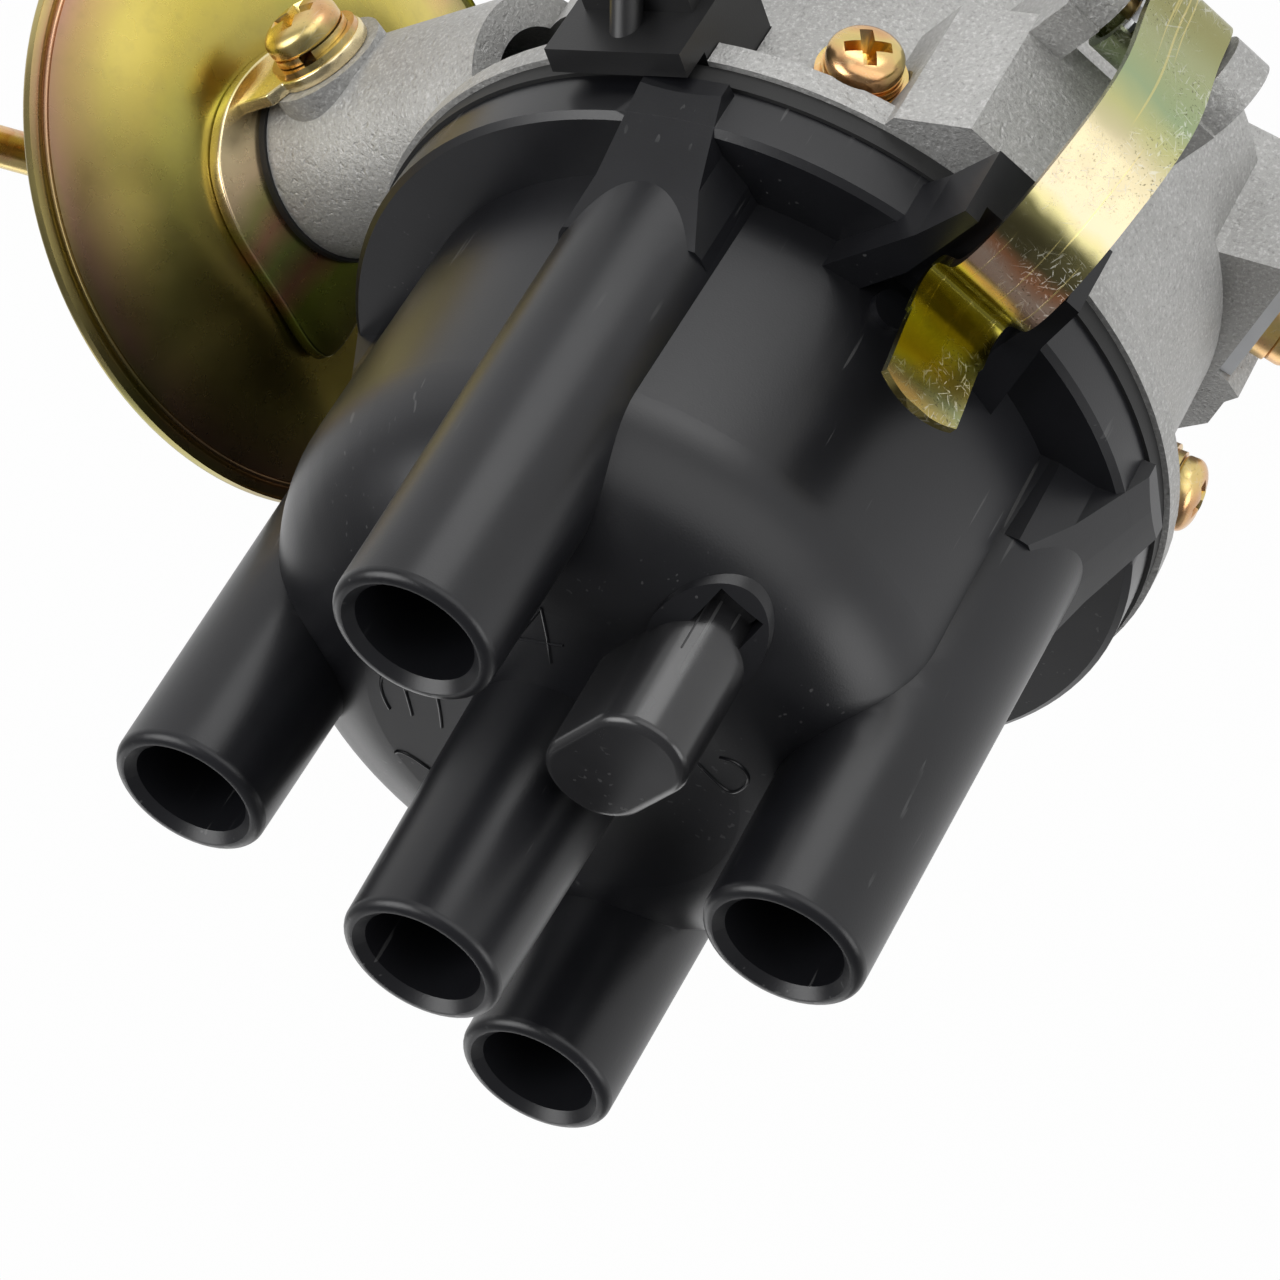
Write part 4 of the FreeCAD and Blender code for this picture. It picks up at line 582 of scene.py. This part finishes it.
near_face = [(7, 47.45), (16.5, 47.45)] + eased((17.4, 47.55), (32.7, 51.7))
groove = arc((33.0, 51.75), 0.28, 190, 80, 5)
bead = arc((33.95, 52.2), 0.75, 215, 0, 12) + arc((33.95, 52.9), 0.75, 0, 90, 8)
far_face = [(32.4, 53.8), (30.0, 54.7)] + eased((28.6, 55.4), (12.6, 63.3)) + [(11.5, 63.5), (4, 63.5)]
near_skin = near_face + groove + bead[:9]
near_inside = [(33.2, 52.6), (31.6, 52.3), (17, 48.5), (7, 48.5), near_face[0]]
can_dish = turned("can_dish", near_skin + near_inside, vacuum_seat)
far_skin = bead[8:] + far_face
far_inside = [(4, 62.7), (11.4, 62.7)] + eased((28.0, 54.75), (11.8, 62.65))[::-1]
can_shell = turned("can_shell", far_skin + far_inside + [(31.2, 53.4), (33.4, 52.9), bead[8]], vacuum_seat)
attach(can_dish, "vacuum_inner_shell")
attach(can_shell, "vacuum_outer_shell")
print("can", len(can_dish.data.polygons), len(can_shell.data.polygons))

# %% [markdown]
# ## Bracket of the vacuum can
# The bracket is a stamped plate between the can and the arm. Its outline is one flowing curve, so
# it is drawn as a closed smooth line and given the plate's thickness with slightly rolled edges. A
# tongue with a round end is bent back along the arm, and its screw goes through there.

# %% Bracket
def flowing(corners, steps=8):
    """Points on a closed smooth curve through the corners, by the Catmull-Rom rule."""
    line = []
    count = len(corners)
    for i in range(count):
        before, start, stop, after = [Vector((*corners[(i + k) % count], 0)) for k in (-1, 0, 1, 2)]
        for k in range(steps):
            s = k / steps
            bend = (2 * before - 5 * start + 4 * stop - after) * s * s
            twist = (3 * start - before - 3 * stop + after) * s ** 3
            line.append(0.5 * (2 * start + (stop - before) * s + bend + twist))
    return [(point.x, point.y) for point in line]


def stamped(name, outline, low, high, seat, edge=0.25):
    """A plate of the given outline between two heights, its edges rolled by a small bevel."""
    count = len(outline)
    points = [(x, y, z) for z in (low, high) for x, y in outline]
    faces = [list(range(count)), list(range(2 * count - 1, count - 1, -1))]
    faces += [[i, count + i, count + (i + 1) % count, (i + 1) % count] for i in range(count)]
    made = new_mesh(name, points, faces, seat)
    bevel = made.modifiers.new("edge", "BEVEL")
    bevel.width = edge * MM
    bevel.segments = 3
    bevel.limit_method = "ANGLE"
    bevel.angle_limit = math.radians(50)
    bake(made)
    smooth(made)
    return made


def merged(name, parts):
    """One object that holds the meshes of several."""
    book = bmesh.new()
    for part in parts:
        book.from_mesh(part.data)
        bpy.data.objects.remove(part)
    mesh = bpy.data.meshes.new(name)
    book.to_mesh(mesh)
    book.free()
    made = linked(name, mesh)
    smooth(made)
    return made


plate_outline = flowing([(10.6, 9.6), (12.1, 4.6), (13.4, -1.0), (13.4, -6.0), (12.0, -10.2), (9.2, -13.7),
                         (4.1, -16.1), (-4.0, -17.2), (-10.6, -17.8), (-12.6, -15.2), (-12.2, -6.0),
                         (-11.6, 4.0), (-7.5, 10.6), (0.0, 13.2), (7.4, 12.4)])
ARM_SCREW_OUT = 38.5
tongue_end = [(x, -y) for x, y in arc((0, ARM_SCREW_OUT), 5.2, 20, -200, 18)]
tongue_outline = [(6.4, -47.1), (6.4, -41.5)] + tongue_end + [(-6.4, -41.5), (-6.4, -47.1)]
tongue_seat = axes(DOWN, -VACUUM_OUT, VACUUM_SIDE, CAN_CENTRE)
bracket = merged("bracket_plate", [stamped("bracket_face", plate_outline, 45.8, 47.4, vacuum_seat),
                                   stamped("bracket_tongue", tongue_outline, 11.0, 12.4, tongue_seat)])
attach(bracket, "vacuum_bracket")
print("bracket", len(bracket.data.polygons))

# %% [markdown]
# ## Screws
# Each screw has a domed head with a cross recess that tapers inwards, and most have a spring washer
# under it, cut through at one place. The head is turned, and the recess is two tapered bars taken
# away by a boolean. The spring washer is a ring that stops short of itself and climbs a little.

# %% Screw and washer
WASHER_STEPS = 72


def bar(name, long, wide, tip_long, tip_wide, low, high, seat, spin):
    """A tapered bar, larger at its upper end, for one arm of the cross."""
    turn = Matrix.Rotation(spin, 3, "Z")
    ends = ((tip_long, tip_wide, low), (long, wide, high))
    points = [turn @ Vector((x * across / 2, y * thick / 2, z)) for across, thick, z in ends
              for x, y in ((-1, -1), (1, -1), (1, 1), (-1, 1))]
    faces = [[3, 2, 1, 0], [4, 5, 6, 7]] + [[i, (i + 1) % 4, 4 + (i + 1) % 4, 4 + i] for i in range(4)]
    return new_mesh(name, points, faces, seat)


def screw(name, head, height, shank, length, seat, spin):
    """A domed head of the given radius and height on its shank, with a cross recess turned by spin."""
    profile = [(0, -length), (shank - 0.4, -length), (shank, -length + 0.5), (shank, 0), (head - 0.25, 0)]
    profile += arc((head - 0.3, 0.35), 0.3, -80, 0, 4) + [(head, height * 0.42)]
    profile += [(head * math.cos(a) ** 0.75, height * 0.42 + height * 0.58 * math.sin(a))
                for a in [math.radians(v) for v in range(10, 90, 8)]] + [(0, height)]
    made = turned(name, profile, seat, WASHER_STEPS)
    for i in range(2):
        cutter = bar("recess_%d" % i, long=head * 1.3, wide=head * 0.36, tip_long=head * 0.55,
                     tip_wide=head * 0.13, low=height * 0.22, high=height * 1.02, seat=seat,
                     spin=spin + i * math.pi / 2)
        tool = made.modifiers.new("recess", "BOOLEAN")
        tool.operation = "DIFFERENCE"
        tool.solver = "EXACT"
        tool.object = cutter
        bake(made)
        bpy.data.objects.remove(cutter)
    smooth(made, degrees=40)
    return made


SPLIT = 20
SPLIT_START = 14
CLIMB = 0.12


def spring_washer(name, outer, inner, thickness, base, seat, gap):
    """A split ring: its two ends stand apart and one is a little higher."""
    steps = WASHER_STEPS
    points, faces = [], []
    for i in range(steps + 1):
        angle = gap + math.radians(SPLIT_START + (360 - SPLIT) * i / steps)
        foot = base + CLIMB * thickness * i / steps
        for radius, rise in ((inner, 0), (outer, 0), (outer, thickness), (inner, thickness)):
            points.append((radius * math.cos(angle), radius * math.sin(angle), foot + rise * (1 - CLIMB)))
    for i in range(steps):
        for k in range(4):
            faces.append([4 * i + k, 4 * i + (k + 1) % 4, 4 * i + 4 + (k + 1) % 4, 4 * i + 4 + k])
    faces += [[0, 3, 2, 1], [4 * steps + k for k in range(4)]]
    return new_mesh(name, points, faces, seat)


def ring(name, inner, outer, low, high, seat):
    """A flat washer."""
    corners = [(inner, low), (outer, low), (outer, high), (inner, high), (inner, low)]
    return turned(name, corners, seat, WASHER_STEPS)


print("screws and washers ready")

# %% [markdown]
# ## Where the screws sit
# Two side screws stand on pads round the rim, one screw goes through the bracket's tongue into the
# arm, and the earth screw stands on its own flat. A seat is a frame whose Z points outwards along
# the screw, and a head is raised on it by the height of its washers.

# %% Seats and screws
SIDE_AZIMUTHS = (251.5, 167)
SIDE_REACH, SIDE_HEIGHT = 36.9, 51.3
ARM_FACE = 40.8
EARTH_AZIMUTH = 150
EARTH_REACH, EARTH_ASIDE, EARTH_HEIGHT = 38.1, 10.6, 24.4


def side_seat(azimuth):
    """The pad of a side screw: X along the rim, Y up and Z outwards."""
    out = towards(azimuth)
    return axes(UP.cross(out), UP, out, out * SIDE_REACH + UP * SIDE_HEIGHT)


def raised(seat, washers):
    """The seat moved outwards by the height of the washers, in millimetres."""
    return seat @ Matrix.Translation((0, 0, washers * MM))


side_seats = list(enumerate([side_seat(azimuth) for azimuth in SIDE_AZIMUTHS]))
arm_spot = VACUUM_SIDE * ARM_FACE + VACUUM_OUT * ARM_SCREW_OUT + UP * CAN_HEIGHT
arm_seat = axes(VACUUM_OUT, UP, VACUUM_SIDE, arm_spot)
flat_out, flat_side = towards(EARTH_AZIMUTH), towards(EARTH_AZIMUTH + 90)
flat_spot = flat_out * EARTH_REACH + flat_side * EARTH_ASIDE + UP * EARTH_HEIGHT
flat_seat = axes(flat_side, UP, flat_out, flat_spot)
side_heads = merged("side_screw_heads", [
    screw("side_head_%d" % i, head=3.6, height=2.7, shank=2.0, length=10, seat=raised(seat, 2.5),
          spin=0.5 + i) for i, seat in side_seats])
side_splits = [spring_washer("split_%d" % i, outer=3.8, inner=2.15, thickness=0.9, base=1.6,
                             seat=seat, gap=4.4) for i, seat in side_seats]
side_rings = [ring("ring_%d" % i, 2.1, 4.3, 0.8, 1.55, seat) for i, seat in side_seats]
side_washers = merged("side_split_washers", side_splits + side_rings)
bracket_head = screw("bracket_screw_head", head=4.1, height=2.9, shank=1.65, length=7.5,
                     seat=raised(arm_seat, 1.6), spin=0.3)
bracket_washers = merged("bracket_washers", [
    ring("bracket_flat", 1.8, 4.9, 0, 0.7, arm_seat),
    spring_washer("bracket_split", outer=4.1, inner=1.9, thickness=0.85, base=0.72, seat=arm_seat, gap=2.0)])
earth_head = screw("earth_screw_head", head=4.4, height=3.2, shank=2.08, length=10,
                   seat=raised(flat_seat, 1.6), spin=0.2)
screws = {"side_screws": side_heads, "side_screw_spring_washers": side_washers,
          "bracket_screw": bracket_head, "bracket_screw_washer": bracket_washers,
          "earth_screw": earth_head}
for node, piece in screws.items():
    attach(piece, node)
print("screws", [len(piece.data.polygons) for piece in screws.values()])

# %% [markdown]
# ## Cylinder numbers
# Beside each tower the mould carries the number of its cylinder, in thin strokes on the cap's top.
# They are drawn as smooth lines a fraction of a millimetre thick, half sunk in the moulding. Each
# point is dropped onto the cap by a ray, so the strokes follow the shoulder where the roof ends. A
# curve with a round bevel gives the stroke, and it is turned into a mesh at once.

# %% Numbers on the cap
STROKES = {
    "1": [[(17.3, 6.6), (16.4, 5.4), (13.6, 8.1), (12.3, 9.3)]],
    "2": [[(-17.4, -4.1), (-18.7, -4.2), (-19.7, -3.3), (-20.0, -2.0), (-19.3, -0.8), (-18.2, 0.3),
           (-17.1, 0.4), (-15.3, -2.2), (-14.3, -3.8)], [(-14.3, -3.8), (-11.2, 0.4)]],
    "3": [[(16.5, 0.4), (17.2, -1.9), (16.1, -5.2), (14.3, -5.7), (14.1, -2.9), (14.2, 0.5)],
          [(14.1, -2.9), (12.8, -6.2), (10.9, -6.3), (10.7, -2.6), (11.3, 1.2)]],
    "4": [[(-2.3, -11.6), (-2.6, -15.0), (-2.7, -18.6)], [(-2.7, -18.6), (0.7, -13.8)],
          [(0.7, -13.8), (-4.0, -14.3)]]}
STROKE_RADIUS = 0.16
ABOVE_CAP = 140
cap = nodes["distributor_cap"]
cap_places = cap.matrix_world.inverted()


def on_cap(x, y):
    """The point of the cap's surface straight below a place given in millimetres."""
    start = cap_places @ Vector((x * MM, y * MM, ABOVE_CAP * MM))
    found = cap.ray_cast(start, (cap_places.to_3x3() @ DOWN).normalized())
    return cap.matrix_world @ found[1]


for digit, strokes in STROKES.items():
    line = bpy.data.curves.new("number_" + digit, "CURVE")
    line.dimensions = "3D"
    line.bevel_depth = STROKE_RADIUS * MM
    line.bevel_resolution = 2
    line.use_fill_caps = True
    for stroke in strokes:
        sharp = len(stroke) < 4
        run = line.splines.new("POLY" if sharp else "NURBS")
        run.points.add(len(stroke) - 1)
        for point, (x, y) in zip(run.points, stroke):
            point.co = (*on_cap(x, y), 1)
        if not sharp:
            run.use_endpoint_u = True
            run.order_u = 4
            run.resolution_u = 8
    drawn = linked("line_" + digit, line)
    number = linked("number_" + digit, evaluated_mesh(drawn))
    bpy.data.objects.remove(drawn)
    smooth(number)
    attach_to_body(number, "body")
print("numbers", len(STROKES))

# %% [markdown]
# ## Dress the solids
# Each solid names its material slot in the record, and takes the finish of that slot. Yellow zinc
# is one slot with four looks: can, clips, bracket and small parts, told apart by name.

# %% Dress
finish_of = {part["node"]: part["material_slot"] for part in frame["record"]["subparts"]}
SMALL_PARTS = ("screw", "washer", "earth", "nipple", "pin")


def finish_for(name, slot):
    if slot != "yellow_zinc":
        return slot
    if name.startswith("cap_clip"):
        return "clip_zinc"
    if name.startswith("bracket_plate"):
        return "bracket_zinc"
    return "screw_zinc" if any(word in name for word in SMALL_PARTS) else slot


for name, solid in nodes.items():
    solid.data.materials.clear()
    solid.data.materials.append(finishes[finish_for(name, finish_of[name])].material)
slot_of = {piece.name: "yellow_zinc" for piece in (can_dish, can_shell, bracket, *screws.values())}
slot_of.update({"number_" + digit: "cap_moulding" for digit in STROKES})
for name, slot in slot_of.items():
    bpy.data.objects[name].data.materials.append(finishes[finish_for(name, slot)].material)
print("dressed", len(nodes), "solids and", len(slot_of), "pieces")

# %% [markdown]
# ## Springs that give
# Two springs take up the travel of a joint: one in the can, one above the carbon brush. A copy of
# each stands for its solid; the share of its length that it would keep at the joint's full travel
# is worked out and printed.

# %% Springs
def giving(node, axis, travel):
    """A copy of the spring for its solid; prints the share of its length along the axis left after the
    joint's travel, in millimetres.
    """
    coil = linked(node + "_coil", nodes[node].data.copy())
    spots = [vertex.co for vertex in coil.data.vertices]
    reach = [spot.dot(axis) for spot in spots]
    centre = sum(spots, Vector()) / len(spots)
    fixed_end = centre + axis * (max(reach) - centre.dot(axis))
    length = max(reach) - min(reach)
    keep = (length - travel * MM) / length
    attach(coil, node)
    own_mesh(coil)
    print(coil.name, "%.1f mm, keeps %.2f" % (length / MM, keep))


giving("vacuum_spring", VACUUM_OUT.normalized(), travel=6.0)
giving("brush_spring", UP, travel=1.5)

# %% [markdown]
# ## Stage
# The photograph is a studio shot on white. A pale floor lies under the shank. What the camera
# sees of it is pure white, through an emission that only camera, glossy and
# transmission rays meet, and it still takes the object's shadow.

# %% Floor
GLOW_SHARE = 0.97
bpy.ops.mesh.primitive_plane_add(size=6, location=(0, 0, cad_box[0].z - 0.002))
floor = bpy.context.object
floor.name = "floor"
paper = Finish("paper", roughness=0.9, base_color=(0.8, 0.8, 0.8, 1))
path = paper.node("ShaderNodeLightPath")
camera_ray, glossy_ray, clear_ray = [paper.out(path, "Is %s Ray" % kind)
                                     for kind in ("Camera", "Glossy", "Transmission")]
seen = 1 - (1 - camera_ray) * (1 - glossy_ray) * (1 - clear_ray)
glow = paper.node("ShaderNodeEmission", {"Color": (1, 1, 1), "Strength": 1.0})
sheet = Signal(paper, paper.shader.outputs[0])
mixed = paper.node("ShaderNodeMixShader", {0: seen * GLOW_SHARE, 1: sheet, 2: glow})
paper.tree.links.new(mixed.socket, paper.tree.nodes["Material Output"].inputs["Surface"])
floor.data.materials.append(paper.material)
print("floor at", round(floor.location.z, 4))

# %% [markdown]
# ## Light
# Soft studio light: a sky that is dimmer high up, and large panels for the long soft highlights
# that show the shape of black plastic. Black has almost no colour of its own, so its form is only
# what it reflects. A small card low in front lights the flanks of the towers, and the camera
# doesn't see it. One sun would be simpler, but its highlights would be hard dots.

# %% Lamps
world = bpy.data.worlds.new("studio")
bpy.context.scene.world = world
sky = Graph(world)
height = sky.out(sky.node("ShaderNodeSeparateXYZ", {0: sky.node("ShaderNodeTexCoord", out=0)}), "Z")
level = sky.ramp(height * 0.5 + 0.5, [(0.30, (0.42, 0.42, 0.42)), (0.62, (0.36, 0.36, 0.36)),
                                      (0.76, (0.13, 0.13, 0.135)), (1.0, (0.24, 0.24, 0.25))])
background = sky.tree.nodes["Background"]
sky.feed(background.inputs["Color"], level)
background.inputs["Strength"].default_value = 1.0


def panel(name, place, aim, size, power):
    """A rectangular lamp of the given size in metres and power in watts, turned to its aim."""
    lamp = bpy.data.lights.new(name, "AREA")
    lamp.shape = "RECTANGLE"
    lamp.size, lamp.size_y = size
    lamp.energy = power
    holder = linked(name, lamp)
    holder.location = place
    holder.rotation_euler = (Vector(aim) - Vector(place)).to_track_quat("-Z", "Y").to_euler()
    return holder


middle = (0.0, 0.0, 0.06)
towers = (-0.02, -0.03, 0.1)
panels = {"front_panel": ((-0.68, -1.08, 0.42), middle, (2.0, 0.85), 7.8),
          "side_panel": ((-1.20, 0.16, 0.36), middle, (0.8, 0.6), 4.5),
          "left_panel": ((0.64, -0.62, 0.84), middle, (0.9, 0.7), 9.5),
          "bounce_card": ((-0.05, -0.24, -0.035), towers, (0.18, 0.07), 0.12),
          "back_panel": ((0.60, 1.05, 0.40), middle, (1.2, 0.7), 4)}
lamps = {name: panel(name, *numbers) for name, numbers in panels.items()}
lamps["bounce_card"].visible_camera = False
print("lamps", len(lamps))

# %% [markdown]
# ## Camera
# The place, aim and lens were solved from points of the photograph: the flange's circle, the
# five tower mouths and their known spacing. The camera looks down on the cap with the
# engine end up, so its roll is large.

# %% Camera
SENSOR = 36
PICTURE_WIDTH = 1280
FOCAL_PIXELS = 4587.72
lens = bpy.data.cameras.new("camera")
lens.sensor_width = SENSOR
lens.lens = SENSOR * FOCAL_PIXELS / PICTURE_WIDTH
lens.clip_start, lens.clip_end = 0.01, 20
camera = linked("camera", lens)
right = Vector((-0.8936531, 0.1569769, -0.4204074))
up = Vector((0.2089044, -0.6836041, -0.6993171))
back = Vector((-0.3971688, -0.7127719, 0.5781117))
camera.matrix_world = axes(right, up, back, Vector((-167.62, -296.71, 331.52)))
bpy.context.scene.camera = camera
bpy.context.scene.view_settings.view_transform = "Standard"
print("lens", round(lens.lens, 2))
